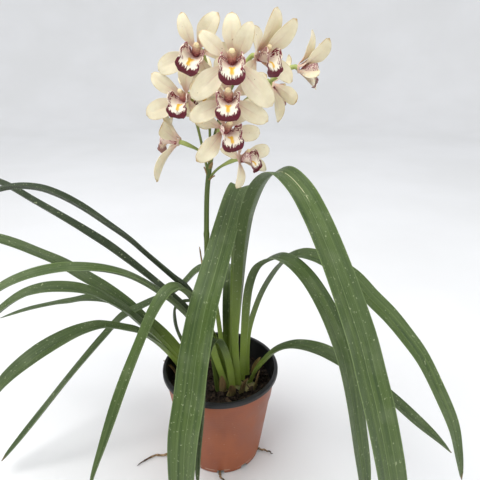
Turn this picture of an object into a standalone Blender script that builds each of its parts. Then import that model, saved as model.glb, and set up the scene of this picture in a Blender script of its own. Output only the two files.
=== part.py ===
"""Potted orchid: a boat orchid in flower, in a round plastic nursery pot.

Metres, +Z up. The origin is the centre of the pot's underside, which stands on z = 0.
The plant's best side, with its flowers, looks along -Y.
"""
import math

import bmesh
import bpy
import numpy as np
from mathutils import Matrix, Vector

# Pot, a tapered thermoformed tub with a rolled rim
POT_HEIGHT = 0.1366
RIM_RADIUS = 0.075
RIM_WIDTH = 0.0050
RIM_DEPTH = 0.0065
BASE_RADIUS = 0.0523
POT_WALL = 0.0018
FOOT_STEP = 0.0022
WALL_RING = 0.030
SHOULDER = (0.096, 0.098)
SHOULDER_STEP = 0.0009
FLOOR_RISE = 0.004
EDGE_ROUND = 0.0020
HOLE_COUNT = 10
HOLE_RADIUS = 0.0060
HOLE_DEPTH = 0.012
HOLE_INSET = 0.004
POT_SIDES = 40

# Potting mix
MIX_TOP = 0.1120
MIX_CROWN = 0.0020
MIX_FOOT = 0.010
MIX_INSET = 0.0004
GAP = 0.0003

# Pseudobulbs, half buried: centre and half axes
BULBS = {
    "pseudobulb_centre": dict(centre=(0.0235, -0.0125, 0.1085), half_axes=(0.026, 0.013, 0.008), turn=8),
    "pseudobulb_left": dict(centre=(-0.0450, 0.0160, 0.1078), half_axes=(0.017, 0.014, 0.008), turn=60),
}

# Leaves. root: where the leaf starts, seen from above. heading: the way it arches, in degrees from +X.
# spine: how far out and how high its midrib passes. fold: how far its halves are folded up at the foot and
# on the arch, in degrees. full_at and taper_from: the shares of its length where it reaches its full width
# and where it starts to narrow again. sway: how far its middle swings to the left of its heading. roll: how
# far it is turned about its midrib at the foot and at the tip, in degrees.
LEAF_THICKNESS = 0.0010
LEAF_STATIONS = 19
BEND_PACE = 0.06
FOOT_WIDTH = 0.0105
FULL_WIDTH_AT = 0.55
LEAF_FOOT = 0.1172
FOLD_OPEN_AT = 0.45
TAPER_FROM = 0.62
TAPER_POWER = 2.2
LEAVES = {
    "leaf_01": dict(root=(0.0105, -0.0090), heading=195, width=0.020,
        fold=(62, 30), roll=(0, 10), spine=[
        (0, LEAF_FOOT), (0.016, 0.185), (0.043, 0.253), (0.063, 0.278), (0.090, 0.310), (0.107, 0.330),
        (0.128, 0.350), (0.150, 0.370), (0.172, 0.386), (0.192, 0.395), (0.216, 0.397), (0.245, 0.388),
        (0.280, 0.362), (0.305, 0.332)]),
    "leaf_02": dict(root=(0.0125, -0.0030), heading=176, width=0.019,
        fold=(62, 30), roll=(0, 5), spine=[
        (0, LEAF_FOOT), (0.020, 0.165), (0.050, 0.214), (0.074, 0.241), (0.094, 0.260), (0.119, 0.282),
        (0.144, 0.303), (0.171, 0.322), (0.198, 0.340), (0.225, 0.357), (0.256, 0.376), (0.290, 0.386),
        (0.325, 0.378)]),
    "leaf_03": dict(root=(-0.0480, 0.0205), heading=172, width=0.026,
        fold=(55, 25), roll=(0, 0), spine=[
        (0, LEAF_FOOT), (0.013, 0.140), (0.040, 0.174), (0.067, 0.203), (0.084, 0.217), (0.105, 0.231),
        (0.131, 0.246), (0.160, 0.263), (0.190, 0.275), (0.220, 0.286), (0.250, 0.293), (0.285, 0.293),
        (0.320, 0.283)]),
    "leaf_04": dict(root=(0.0036, -0.0119), heading=205, width=0.024,
        fold=(60, 25), roll=(0, 0), spine=[
        (0, LEAF_FOOT), (0.014, 0.165), (0.036, 0.217), (0.057, 0.249), (0.074, 0.268), (0.090, 0.284),
        (0.108, 0.298), (0.130, 0.309), (0.155, 0.316), (0.180, 0.319), (0.205, 0.317), (0.228, 0.310),
        (0.255, 0.293), (0.280, 0.268)]),
    "leaf_05": dict(root=(-0.0475, 0.0128), heading=197, width=0.026,
        fold=(55, 25), roll=(0, 0), spine=[
        (0, LEAF_FOOT), (0.016, 0.145), (0.036, 0.178), (0.055, 0.203), (0.070, 0.223), (0.087, 0.239),
        (0.103, 0.252), (0.121, 0.261), (0.142, 0.266), (0.160, 0.267), (0.180, 0.263), (0.200, 0.252),
        (0.220, 0.235), (0.242, 0.208)]),
    "leaf_06": dict(root=(-0.0440, 0.0265), heading=164, width=0.018,
        fold=(55, 20), roll=(0, 0), spine=[
        (0, LEAF_FOOT), (0.030, 0.155), (0.070, 0.185), (0.110, 0.198), (0.146, 0.197), (0.175, 0.188),
        (0.207, 0.178), (0.255, 0.160), (0.309, 0.136)]),
    "leaf_07": dict(root=(0.0073, -0.0222), heading=225, width=0.020,
        fold=(60, 35), roll=(0, 0), spine=[
        (0, LEAF_FOOT), (0.018, 0.175), (0.032, 0.226), (0.046, 0.264), (0.058, 0.283), (0.068, 0.290),
        (0.077, 0.290), (0.086, 0.285), (0.095, 0.276), (0.104, 0.264), (0.126, 0.229), (0.141, 0.204),
        (0.156, 0.176), (0.171, 0.147), (0.187, 0.117), (0.193, 0.102)]),
    "leaf_08": dict(root=(-0.0500, 0.0065), heading=215, width=0.030, full_at=0.75,
        fold=(55, 20), roll=(0, 0), spine=[
        (0, LEAF_FOOT), (0.014, 0.148), (0.034, 0.180), (0.054, 0.203), (0.070, 0.214), (0.085, 0.223),
        (0.100, 0.230), (0.116, 0.232), (0.133, 0.231), (0.155, 0.226), (0.175, 0.219), (0.197, 0.208),
        (0.215, 0.194), (0.240, 0.165)]),
    "leaf_09": dict(root=(0.0040, 0.0100), heading=192, width=0.018, sway=-0.028,
        fold=(55, 25), roll=(0, 0), spine=[
        (0, LEAF_FOOT), (0.004, 0.185), (0.010, 0.238), (0.018, 0.262), (0.030, 0.259), (0.048, 0.240),
        (0.069, 0.226), (0.086, 0.220), (0.100, 0.214), (0.122, 0.204), (0.133, 0.195), (0.146, 0.181),
        (0.169, 0.157), (0.205, 0.119), (0.242, 0.078), (0.271, 0.047)]),
    "leaf_10": dict(root=(-0.0400, 0.0370), heading=180, width=0.010,
        fold=(45, 30), roll=(0, 0), spine=[
        (0, LEAF_FOOT), (0.013, 0.143), (0.022, 0.174), (0.021, 0.199), (0.012, 0.210), (-0.004, 0.211),
        (-0.024, 0.203)]),
    "leaf_11": dict(root=(0.0150, -0.0103), heading=-112, width=0.038, full_at=0.80,
        taper_from=0.82, fold=(60, 20), roll=(0, 6), spine=[
        (0, LEAF_FOOT), (-0.006, 0.190), (-0.016, 0.260), (-0.028, 0.325), (-0.036, 0.358),
        (-0.033, 0.373), (-0.017, 0.366), (0.007, 0.342), (0.032, 0.314), (0.051, 0.293), (0.070, 0.272),
        (0.086, 0.245), (0.100, 0.215), (0.112, 0.180), (0.129, 0.141), (0.138, 0.095), (0.143, 0.060),
        (0.145, 0.030)]),
    "leaf_12": dict(root=(0.0140, -0.0255), heading=-118, width=0.016,
        fold=(55, 40), roll=(0, 10), spine=[
        (0, LEAF_FOOT), (0.008, 0.160), (0.020, 0.195), (0.034, 0.214), (0.047, 0.214), (0.057, 0.196),
        (0.065, 0.165), (0.072, 0.122), (0.079, 0.075), (0.083, 0.039)]),
    "leaf_13": dict(root=(0.0250, -0.0158), heading=-52, width=0.038, full_at=0.68,
        taper_from=0.82, fold=(62, 14), roll=(0, 4), spine=[
        (0, LEAF_FOOT), (-0.006, 0.175), (-0.004, 0.213), (0.000, 0.257), (0.004, 0.300), (0.011, 0.342),
        (0.018, 0.364), (0.031, 0.390), (0.048, 0.407), (0.066, 0.413), (0.089, 0.403), (0.108, 0.385),
        (0.127, 0.361), (0.149, 0.328), (0.174, 0.286), (0.190, 0.251), (0.206, 0.214), (0.226, 0.158),
        (0.238, 0.110), (0.246, 0.065), (0.250, 0.035)]),
    "leaf_14": dict(root=(0.0295, -0.0060), heading=-40, width=0.033, full_at=0.72,
        taper_from=0.80, fold=(58, 18), roll=(0, 0), spine=[
        (0, LEAF_FOOT), (0.005, 0.196), (0.010, 0.252), (0.022, 0.288), (0.041, 0.306), (0.056, 0.310),
        (0.072, 0.306), (0.091, 0.293), (0.111, 0.270), (0.128, 0.243), (0.141, 0.215), (0.152, 0.179),
        (0.165, 0.125), (0.176, 0.080), (0.184, 0.040)]),
    "leaf_15": dict(root=(0.0358, 0.0045), heading=-30, width=0.026,
        fold=(58, 20), roll=(0, 20), spine=[
        (0, LEAF_FOOT), (0.000, 0.164), (0.004, 0.196), (0.015, 0.236), (0.028, 0.267), (0.045, 0.295),
        (0.064, 0.308), (0.082, 0.310), (0.100, 0.306), (0.126, 0.295), (0.148, 0.277), (0.168, 0.262),
        (0.186, 0.245), (0.207, 0.222), (0.228, 0.189), (0.249, 0.151), (0.261, 0.115), (0.270, 0.083)]),
    "leaf_16": dict(root=(0.0390, -0.0110), heading=-20, width=0.027,
        fold=(50, 20), roll=(0, 0), spine=[
        (0, LEAF_FOOT), (0.006, 0.135), (0.017, 0.154), (0.032, 0.174), (0.050, 0.186), (0.067, 0.190),
        (0.086, 0.189), (0.103, 0.184), (0.125, 0.174), (0.150, 0.159), (0.178, 0.139), (0.203, 0.120),
        (0.229, 0.101), (0.248, 0.085)]),
    "leaf_17": dict(root=(0.0105, 0.0125), heading=84, width=0.016,
        fold=(55, 30), roll=(0, 0), spine=[
        (0, LEAF_FOOT), (-0.003, 0.165), (-0.002, 0.205), (0.006, 0.236), (0.020, 0.251), (0.040, 0.253),
        (0.065, 0.243), (0.095, 0.217), (0.120, 0.180)]),
}

# Flower spike: its axis, then for each flower where its stalk leaves the axis
STEM_RADIUS = (0.0036, 0.0021)
STEM_AXIS = [
    (-0.0025, -0.0215, 0.1125), (-0.0057, -0.0247, 0.150), (-0.0093, -0.0278, 0.200),
    (-0.0115, -0.0272, 0.250), (-0.0115, -0.0240, 0.305), (-0.0110, -0.0240, 0.340),
    (-0.0090, -0.0290, 0.380), (-0.0050, -0.0350, 0.410), (0.0000, -0.0390, 0.435),
    (0.0095, -0.0350, 0.468), (0.0200, -0.0290, 0.496),
]
STALK_RADIUS = 0.0014
STEM_SIDES = 8
STALK_SIDES = 6
STEM_STATIONS = 16
STALK_STATIONS = 6
STALK_LEAD = 0.009
STALK_RISE = 0.003

# Flowers. centre: the throat. facing: heading from +X and rise, in degrees. roll: clockwise turn, as seen
# from its front. size: of its lip and column against a full flower. stalk: how far up the stem axis its
# stalk starts, from 0 to 1. tepals: for each sepal and petal its turn from upright, how far it leans
# forward (both in degrees) and its length in millimetres
FLOWERS = {
    "a": dict(centre=(0.019, -0.074, 0.512), facing=(-90, 4), roll=0, size=1.00, stalk=0.95, tepals=[
        (0, 10, 37), (30, 35, 38), (137, 5, 51), (-131, 5, 47), (-51, 10, 35)]),
    "b": dict(centre=(-0.012, -0.055, 0.518), facing=(-110, 0), roll=25, size=0.96, stalk=0.90, tepals=[
        (13, 16, 40), (62, -12, 36), (128, -12, 36), (-137, 6, 42), (-45, 12, 34)]),
    "c": dict(centre=(0.042, -0.038, 0.514), facing=(-42, 6), roll=4, size=0.98, stalk=0.93, tepals=[
        (10, 27, 44), (34, 42, 46), (125, 25, 42), (-128, 3, 37), (-60, 30, 43)]),
    "d": dict(centre=(0.083, -0.014, 0.502), facing=(-10, 0), roll=0, size=0.90, stalk=0.88, tepals=[
        (18, 20, 38), (55, 25, 34), (126, 30, 38), (-110, 15, 34), (-35, 40, 38)]),
    "e": dict(centre=(-0.025, -0.044, 0.478), facing=(-110, 4), roll=3, size=0.92, stalk=0.74, tepals=[
        (0, -6, 38), (52, -12, 34), (140, -12, 36), (-117, 13, 43), (-60, 15, 38)]),
    "f": dict(centre=(0.016, -0.070, 0.481), facing=(-92, 4), roll=0, size=0.98, stalk=0.86, tepals=[
        (-14, -4, 36), (60, 5, 38), (120, 5, 40), (-118, 8, 40), (-60, 2, 36)]),
    "g": dict(centre=(-0.006, -0.029, 0.481), facing=(-98, 4), roll=0, size=0.85, stalk=0.78, tepals=[
        (-6, -8, 34), (62, -22, 32), (122, -22, 34), (-130, -8, 34), (-62, -8, 34)]),
    "h": dict(centre=(0.011, -0.062, 0.452), facing=(-65, 4), roll=0, size=0.96, stalk=0.76, tepals=[
        (-20, -4, 34), (50, 0, 38), (100, 5, 37), (-129, 13, 41), (-62, -9, 34)]),
    "i": dict(centre=(0.026, -0.056, 0.423), facing=(-32, 18), roll=0, size=0.80, stalk=0.73, tepals=[
        (20, -10, 32), (88, 31, 34), (130, 28, 30), (-142, 4, 31), (-62, 2, 30)]),
    "j": dict(centre=(-0.034, -0.044, 0.437), facing=(160, 14), roll=0, size=0.80, stalk=0.78, tepals=[
        (0, 40, 32), (57, 12, 36), (146, 8, 45), (-130, 35, 36), (-55, 42, 32)]),
    "k": dict(centre=(0.058, -0.004, 0.485), facing=(20, -25), roll=0, size=0.85, stalk=0.84, tepals=[
        (0, 10, 34), (60, 10, 34), (125, 10, 34), (-149, 25, 38), (-101, 30, 36)]),
}
# Where each tepal joins the hub, as a turn from upright, and its width: top sepal, right petal, right
# sepal, left sepal, left petal. Widths are for one as long as TEPAL_LENGTH
TEPAL_FEET = [(0, 0.0185), (62, 0.0170), (130, 0.0180), (-130, 0.0180), (-62, 0.0170)]
TEPAL_THICKNESS = 0.0011
HUB_RADIUS = 0.0042
HUB_ARC = 34
TEPAL_LENGTH = 0.042
TEPAL_ARCH = 0.08
TEPAL_CUP = 0.25
TEPAL_FOOT_SHARE = 0.30

# Lip, in the flower's own axes: its middle line from foot to tip, then its half width and how far its sides
# curl up (degrees) at shares of that line
LIP_LINE = [
    (0, -0.0032, 0.0016), (0, -0.0048, 0.0060), (0, -0.0060, 0.0110), (0, -0.0082, 0.0160),
    (0, -0.0125, 0.0185), (0, -0.0170, 0.0180), (0, -0.0195, 0.0155)]
LIP_HALF_WIDTHS = [(0, 0.0035), (0.25, 0.0120), (0.48, 0.0170), (0.62, 0.0125), (0.82, 0.0085), (1, 0.0030)]
LIP_CURLS = [(0, 70), (0.25, 95), (0.48, 95), (0.64, 35), (0.82, 15), (1, 8)]
LIP_THICKNESS = 0.0009

# Column: its middle line and its radius at shares of it
COLUMN_LINE = [
    (0, 0.0006, 0.0022), (0, 0.0026, 0.0062), (0, 0.0050, 0.0110), (0, 0.0062, 0.0160), (0, 0.0062, 0.0190)]
COLUMN_RADII = [(0, 0.0024), (0.5, 0.0030), (0.85, 0.0037), (0.95, 0.0032), (1, 0.0018)]

# Dry bracts on the stem: how far up the axis they start and end, and how wide they stand off at the tip
SHEATHS = {
    "stem_sheath_lower": dict(start=0.30, end=0.37, wrap=100, facing=200),
    "stem_sheath_upper": dict(start=0.38, end=0.52, wrap=80, facing=180),
}

SHEATH_RADIUS = 0.0050
SHEATH_STAND_OFF = 0.0035
SHEATH_THICKNESS = 0.0006

# Roots lying on the floor: centre lines and radius
ROOTS = {
    "root_left": dict(radius=0.0019, path=[
        (-0.0460, -0.0150, 0.0026), (-0.0620, -0.0195, 0.0025), (-0.0800, -0.0240, 0.0025),
        (-0.0940, -0.0265, 0.0026), (-0.1030, -0.0330, 0.0025), (-0.1120, -0.0420, 0.0024)]),
    "root_right": dict(radius=0.0016, path=[
        (0.0450, -0.0125, 0.0026), (0.0560, -0.0145, 0.0022), (0.0640, -0.0175, 0.0022),
        (0.0710, -0.0215, 0.0022)]),
    "root_front": dict(radius=0.0016, path=[
        (-0.0010, -0.0475, 0.0024), (-0.0006, -0.0560, 0.0022), (0.0020, -0.0620, 0.0022),
        (0.0080, -0.0660, 0.0022)]),
}

# Base colour, metallic and roughness
COLOURS = {
    "terracotta_plastic": ((0.34, 0.11, 0.05), 0.0, 0.55),
    "potting_mix": ((0.015, 0.012, 0.010), 0.0, 0.95),
    "bulb_green": ((0.16, 0.20, 0.05), 0.0, 0.5),
    "leaf_green": ((0.07, 0.13, 0.035), 0.0, 0.45),
    "stem_green": ((0.10, 0.14, 0.02), 0.0, 0.45),
    "dry_sheath": ((0.25, 0.11, 0.05), 0.0, 0.8),
    "root_tan": ((0.28, 0.17, 0.09), 0.0, 0.85),
    "petal_cream": ((0.78, 0.70, 0.60), 0.0, 0.5),
    "lip_burgundy": ((0.20, 0.02, 0.04), 0.0, 0.5),
    "column_rose": ((0.55, 0.16, 0.22), 0.0, 0.5),
}


def clear_scene():
    for obj in list(bpy.data.objects):
        bpy.data.objects.remove(obj, do_unlink=True)


def add_material(obj, name):
    """A Principled material, made the first time a piece asks for it."""
    material = bpy.data.materials.get(name)
    if material is None:
        colour, metallic, roughness = COLOURS[name]
        material = bpy.data.materials.new(name)
        material.use_nodes = True
        shader = material.node_tree.nodes["Principled BSDF"]
        shader.inputs["Base Color"].default_value = (*colour, 1.0)
        shader.inputs["Metallic"].default_value = metallic
        shader.inputs["Roughness"].default_value = roughness
    obj.data.materials.append(material)


def object_from(bm, name, material, hidden=False):
    mesh = bpy.data.meshes.new(name)
    bmesh.ops.recalc_face_normals(bm, faces=bm.faces)
    bm.to_mesh(mesh)
    bm.free()
    mesh.shade_smooth()
    mesh.set_sharp_from_angle(angle=math.radians(40))
    obj = bpy.data.objects.new(name, mesh)
    bpy.context.collection.objects.link(obj)
    add_material(obj, material)
    if hidden:
        obj.hide_render = True
        obj.display_type = "WIRE"
    return obj


def smooth_path(points, count, bend_pace=0.0):
    """Places on a Catmull-Rom curve through the points, as an array of rows. They are evenly spaced, or
    closer together at bends where bend_pace counts every radian turned as that much more length."""
    points = np.array(points, float)
    padded = np.vstack([2 * points[0] - points[1], points, 2 * points[-1] - points[-2]])
    steps = np.linspace(0, 1, 24, endpoint=False)[:, None]
    pieces = []
    for before, start, end, after in zip(padded[:-3], padded[1:-2], padded[2:-1], padded[3:]):
        pieces.append(0.5 * (
            2 * start + (end - before) * steps + (2 * before - 5 * start + 4 * end - after) * steps**2
            + (3 * start - before - 3 * end + after) * steps**3))
    dense = np.vstack([*pieces, points[-1:]])
    steps = np.diff(dense, axis=0)
    lengths = np.linalg.norm(steps, axis=1)
    headings = steps / lengths[:, None]
    turned = np.arccos(np.clip(np.sum(headings[1:] * headings[:-1], axis=1), -1, 1))
    lengths[1:] += bend_pace * turned
    travelled = np.concatenate([[0], np.cumsum(lengths)])
    wanted = np.linspace(0, travelled[-1], count)
    return np.stack([np.interp(wanted, travelled, column) for column in dense.T], axis=1)


def directions(path):
    steps = np.gradient(path, axis=0)
    return steps / np.linalg.norm(steps, axis=1, keepdims=True)


def eased(share):
    share = np.clip(share, 0, 1)
    return share * share * (3 - 2 * share)


def sheet_solid(bm, grid, thickness):
    """A closed plate on a grid of midsurface points: rows run along it, columns across it."""
    grid = np.asarray(grid)
    along = np.gradient(grid, axis=0)
    across = np.gradient(grid, axis=1)
    normals = np.cross(across, along)
    normals /= np.linalg.norm(normals, axis=2, keepdims=True)
    rows, columns = grid.shape[:2]
    top, bottom = (
        [[bm.verts.new(point) for point in row] for row in grid + side * normals * thickness / 2]
        for side in (1, -1))
    for r in range(rows - 1):
        for c in range(columns - 1):
            bm.faces.new((top[r][c], top[r][c + 1], top[r + 1][c + 1], top[r + 1][c]))
            bm.faces.new((bottom[r][c], bottom[r + 1][c], bottom[r + 1][c + 1], bottom[r][c + 1]))
    edge = [(r, 0) for r in range(rows)] + [(rows - 1, c) for c in range(1, columns)]
    edge += [(r, columns - 1) for r in range(rows - 2, -1, -1)] + [(0, c) for c in range(columns - 2, 0, -1)]
    for (r0, c0), (r1, c1) in zip(edge, edge[1:] + edge[:1]):
        bm.faces.new((top[r0][c0], top[r1][c1], bottom[r1][c1], bottom[r0][c0]))


def tube_solid(bm, path, radii, sides, up=Vector((0, 1, 0))):
    """A closed round tube along a path, with a radius at each of its points."""
    tangents = directions(path)
    rings = []
    for centre, tangent, radius in zip(path, tangents, radii):
        tangent = Vector(tangent)
        side = tangent.cross(up).normalized()
        lift = side.cross(tangent)
        ring = []
        for k in range(sides):
            angle = 2 * math.pi * k / sides
            offset = side * math.cos(angle) + lift * math.sin(angle)
            ring.append(bm.verts.new(Vector(centre) + offset * radius))
        rings.append(ring)
    for lower, upper in zip(rings, rings[1:]):
        for k in range(sides):
            bm.faces.new((lower[k - 1], lower[k], upper[k], upper[k - 1]))
    bm.faces.new(rings[0])
    bm.faces.new(rings[-1])


def turned_solid(bm, profile, sides):
    """A closed body turned about Z from (radius, height) points, the first and last on the axis."""
    rings = []
    for radius, height in profile:
        if radius == 0:
            rings.append([bm.verts.new((0, 0, height))] * sides)
            continue
        angles = [2 * math.pi * k / sides for k in range(sides)]
        rings.append([bm.verts.new((radius * math.cos(a), radius * math.sin(a), height)) for a in angles])
    for lower, upper in zip(rings, rings[1:]):
        for k in range(sides):
            corners = dict.fromkeys((lower[k - 1], lower[k], upper[k], upper[k - 1]))
            bm.faces.new(tuple(corners))


def boolean(obj, other, operation):
    modifier = obj.modifiers.new(operation.title() + " " + other.name, "BOOLEAN")
    modifier.object = other
    modifier.operation = operation
    modifier.solver = "EXACT"


def wall_radius(height):
    """Outer radius of the pot's tapered wall."""
    top = RIM_RADIUS - RIM_WIDTH + POT_WALL
    return BASE_RADIUS + (top - BASE_RADIUS) * height / POT_HEIGHT


def make_pot():
    """A turned wall with a small shoulder, a floor and a rolled rim, then drainage holes round its foot."""
    rim_foot = POT_HEIGHT - RIM_DEPTH
    inner_top = wall_radius(POT_HEIGHT) - POT_WALL
    below, above = SHOULDER
    profile = [
        (0, 0),
        (BASE_RADIUS - FOOT_STEP, 0),
        (BASE_RADIUS, FOOT_STEP),
        (wall_radius(WALL_RING), WALL_RING),
        (wall_radius(below), below),
        (wall_radius(above) + SHOULDER_STEP, above),
        (wall_radius(rim_foot) + SHOULDER_STEP * 0.7, rim_foot),
        (RIM_RADIUS - EDGE_ROUND * 0.4, rim_foot + EDGE_ROUND * 0.3),
        (RIM_RADIUS, rim_foot + EDGE_ROUND * 1.1),
        (RIM_RADIUS - EDGE_ROUND * 0.15, POT_HEIGHT - EDGE_ROUND * 0.8),
        (RIM_RADIUS - EDGE_ROUND, POT_HEIGHT),
        (inner_top + EDGE_ROUND * 0.5, POT_HEIGHT - EDGE_ROUND * 0.2),
        (inner_top, POT_HEIGHT - EDGE_ROUND * 1.1),
        (wall_radius(above) - POT_WALL + SHOULDER_STEP * 0.7, above),
        (wall_radius(below) - POT_WALL, below),
        (wall_radius(FLOOR_RISE) - POT_WALL, FLOOR_RISE),
        (wall_radius(0) - 2 * POT_WALL, POT_WALL),
        (0, POT_WALL),
    ]
    bm = bmesh.new()
    turned_solid(bm, profile, POT_SIDES)
    pot = object_from(bm, "pot", "terracotta_plastic")
    cutters = bmesh.new()
    for k in range(HOLE_COUNT):
        turn = Matrix.Rotation(2 * math.pi * (k + 0.5) / HOLE_COUNT, 4, "Z")
        place = turn @ Matrix.Translation((BASE_RADIUS - HOLE_INSET, 0, 0))
        bmesh.ops.create_cone(
            cutters, cap_ends=True, segments=8, radius1=HOLE_RADIUS, radius2=HOLE_RADIUS,
            depth=HOLE_DEPTH, matrix=place)
    holes = object_from(cutters, "drainage_hole_cutter", "terracotta_plastic", hidden=True)
    boolean(pot, holes, "DIFFERENCE")


def make_mix():
    """The mix fills the pot's inside, a gap clear of it, with a slightly crowned top."""
    def inside(height):
        return wall_radius(height) - POT_WALL - GAP - MIX_INSET
    profile = [
        (0, POT_WALL + GAP),
        (inside(0) - MIX_FOOT, POT_WALL + GAP),
        (inside(MIX_FOOT) - 2 * MIX_INSET, MIX_FOOT),
        (inside(SHOULDER[0]), SHOULDER[0]),
        (inside(MIX_TOP), MIX_TOP - MIX_CROWN),
        (inside(MIX_TOP) * 0.6, MIX_TOP - MIX_CROWN * 0.4),
        (0, MIX_TOP),
    ]
    bm = bmesh.new()
    turned_solid(bm, profile, POT_SIDES)
    return object_from(bm, "potting_mix", "potting_mix")


def bulb_shape(bm, bulb, grow):
    turn = Matrix.Rotation(math.radians(bulb["turn"]), 4, "Z")
    size = Matrix.Diagonal((*(half + grow for half in bulb["half_axes"]), 1))
    place = Matrix.Translation(bulb["centre"]) @ turn @ size
    bmesh.ops.create_uvsphere(bm, u_segments=14, v_segments=8, radius=1, matrix=place)


def make_bulbs(mix):
    """Each pseudobulb sits in a hollow of its own shape, a gap larger than it."""
    for name, bulb in BULBS.items():
        bm = bmesh.new()
        bulb_shape(bm, bulb, 0)
        object_from(bm, name, "bulb_green")
        hollow = bmesh.new()
        bulb_shape(hollow, bulb, 2 * GAP)
        cutter = object_from(hollow, name + "_hollow", "potting_mix", hidden=True)
        boolean(mix, cutter, "DIFFERENCE")


def leaf_grid(leaf, stations, across):
    """Midsurface points of a leaf: its spine is a smooth curve in an upright plane, carrying a V section
    that opens from its folded foot towards the arch, and narrows to a pointed tip."""
    heading = math.radians(leaf["heading"])
    plane = smooth_path(leaf["spine"], stations, BEND_PACE)
    out = np.array([math.cos(heading), math.sin(heading), 0])
    level = np.array([-math.sin(heading), math.cos(heading), 0])
    path = np.array([*leaf["root"], 0]) + plane[:, :1] * out + plane[:, 1:] * np.array([0, 0, 1])
    share = np.concatenate([[0], np.cumsum(np.linalg.norm(np.diff(plane, axis=0), axis=1))])
    share /= share[-1]
    path = path + leaf.get("sway", 0) * np.sin(math.pi * share)[:, None] * level
    tangent = directions(path)
    upper = np.cross(tangent, level)
    roll = np.radians(np.interp(share, (0, 1), leaf["roll"]))[:, None]
    side = level * np.cos(roll) + upper * np.sin(roll)
    upper = upper * np.cos(roll) - level * np.sin(roll)
    width = leaf["width"]
    swell = FOOT_WIDTH + (width - FOOT_WIDTH) * eased(share / leaf.get("full_at", FULL_WIDTH_AT))
    taper_from = leaf.get("taper_from", TAPER_FROM)
    narrowing = np.clip(share - taper_from, 0, 1) / (1.005 - taper_from)
    taper = np.sqrt(1 - narrowing**TAPER_POWER)
    half = (swell * taper / 2)[:, None, None]
    foot_fold, arch_fold = leaf["fold"]
    fold = np.radians(foot_fold + (arch_fold - foot_fold) * eased(share / FOLD_OPEN_AT))[:, None, None]
    v = np.linspace(-1, 1, across)[None, :, None]
    return (path[:, None] + half * v * np.cos(fold) * side[:, None]
            + half * (np.abs(v) - 0.5) * np.sin(fold) * upper[:, None])


def make_leaves():
    for name, leaf in LEAVES.items():
        bm = bmesh.new()
        sheet_solid(bm, leaf_grid(leaf, LEAF_STATIONS, 3), LEAF_THICKNESS)
        object_from(bm, name, "leaf_green")


def flower_frame(flower):
    """Matrix from a flower's own axes (x to the viewer's right, y up, z out of its face) to the world."""
    heading, rise = (math.radians(value) for value in flower["facing"])
    out = Vector((math.cos(rise) * math.cos(heading), math.cos(rise) * math.sin(heading), math.sin(rise)))
    right = Vector((0, 0, 1)).cross(out).normalized()
    up = out.cross(right)
    axes = Matrix((right, up, out)).transposed().to_4x4()
    roll = Matrix.Rotation(-math.radians(flower["roll"]), 4, "Z")
    return Matrix.Translation(flower["centre"]) @ axes @ roll


def tepal_grid(tepal, foot, rows, columns):
    """Midsurface points of one sepal or petal in the flower's own axes. Its foot is a short arc of the hub's
    edge, and from there it leans forward in a low arch to its tip."""
    turn, lean = (math.radians(value) for value in tepal[:2])
    foot_turn, width = math.radians(foot[0]), foot[1]
    outward = np.array([math.sin(turn), math.cos(turn), 0])
    sideways = np.array([math.cos(turn), -math.sin(turn), 0])
    forward = np.array([0, 0, 1])
    share = np.linspace(0, 1, rows)[:, None, None]
    v = np.linspace(-1, 1, columns)[None, :, None]
    length = tepal[2] / 1000
    hub_side = HUB_RADIUS * np.array([math.sin(foot_turn), math.cos(foot_turn), 0])
    tip = length * (math.cos(lean) * outward + math.sin(lean) * forward)
    arch = -TEPAL_ARCH * length * np.sin(math.pi * share)
    line = hub_side + share * (tip - hub_side) + arch * (math.sin(lean) * outward - math.cos(lean) * forward)
    swell = TEPAL_FOOT_SHARE + (1 - TEPAL_FOOT_SHARE) * eased(share / 0.55)
    taper = np.sqrt(1 - (np.clip(share - 0.5, 0, 1) / 0.51) ** 2.4)
    half = width / 2 * swell * taper * length / TEPAL_LENGTH
    grid = line + sideways * half * v + forward * TEPAL_CUP * half * v**2 * (1 - share)
    arc = foot_turn + v[0] * math.radians(HUB_ARC / 2)
    grid[0] = HUB_RADIUS * np.concatenate([np.sin(arc), np.cos(arc), 0 * arc], axis=1)
    return grid


def make_tepals(flower, name, place):
    """Three sepals and two petals round a flat hub, as one plate of even thickness."""
    bm = bmesh.new()
    rows, columns = 5, 3
    rims = ([], [])
    for tepal, foot in zip(flower["tepals"], TEPAL_FEET):
        grid = tepal_grid(tepal, foot, rows, columns)
        along = np.gradient(grid, axis=0)
        across = np.gradient(grid, axis=1)
        normals = np.cross(across, along)
        normals /= np.linalg.norm(normals, axis=2, keepdims=True)
        normals[0] = (0, 0, 1)
        layers = []
        for side, rim in zip((1, -1), rims):
            shifted = grid + side * normals * TEPAL_THICKNESS / 2
            layer = [[bm.verts.new(point) for point in row] for row in shifted]
            layers.append(layer)
            rim.append(layer[0])
            for lower, upper in zip(layer, layer[1:]):
                for c in range(columns - 1):
                    bm.faces.new((lower[c], lower[c + 1], upper[c + 1], upper[c]))
        front, back = layers
        for r in range(rows - 1):
            for c in (0, columns - 1):
                bm.faces.new((front[r][c], front[r + 1][c], back[r + 1][c], back[r][c]))
        for c in range(columns - 1):
            bm.faces.new((front[-1][c], front[-1][c + 1], back[-1][c + 1], back[-1][c]))
    for rim in rims:
        bm.faces.new([vert for foot in rim for vert in foot])
    fronts, backs = rims
    for k in range(len(TEPAL_FEET)):
        bm.faces.new((fronts[k - 1][-1], fronts[k][0], backs[k][0], backs[k - 1][-1]))
    bmesh.ops.transform(bm, matrix=place, verts=bm.verts)
    return object_from(bm, name, "petal_cream")


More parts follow.
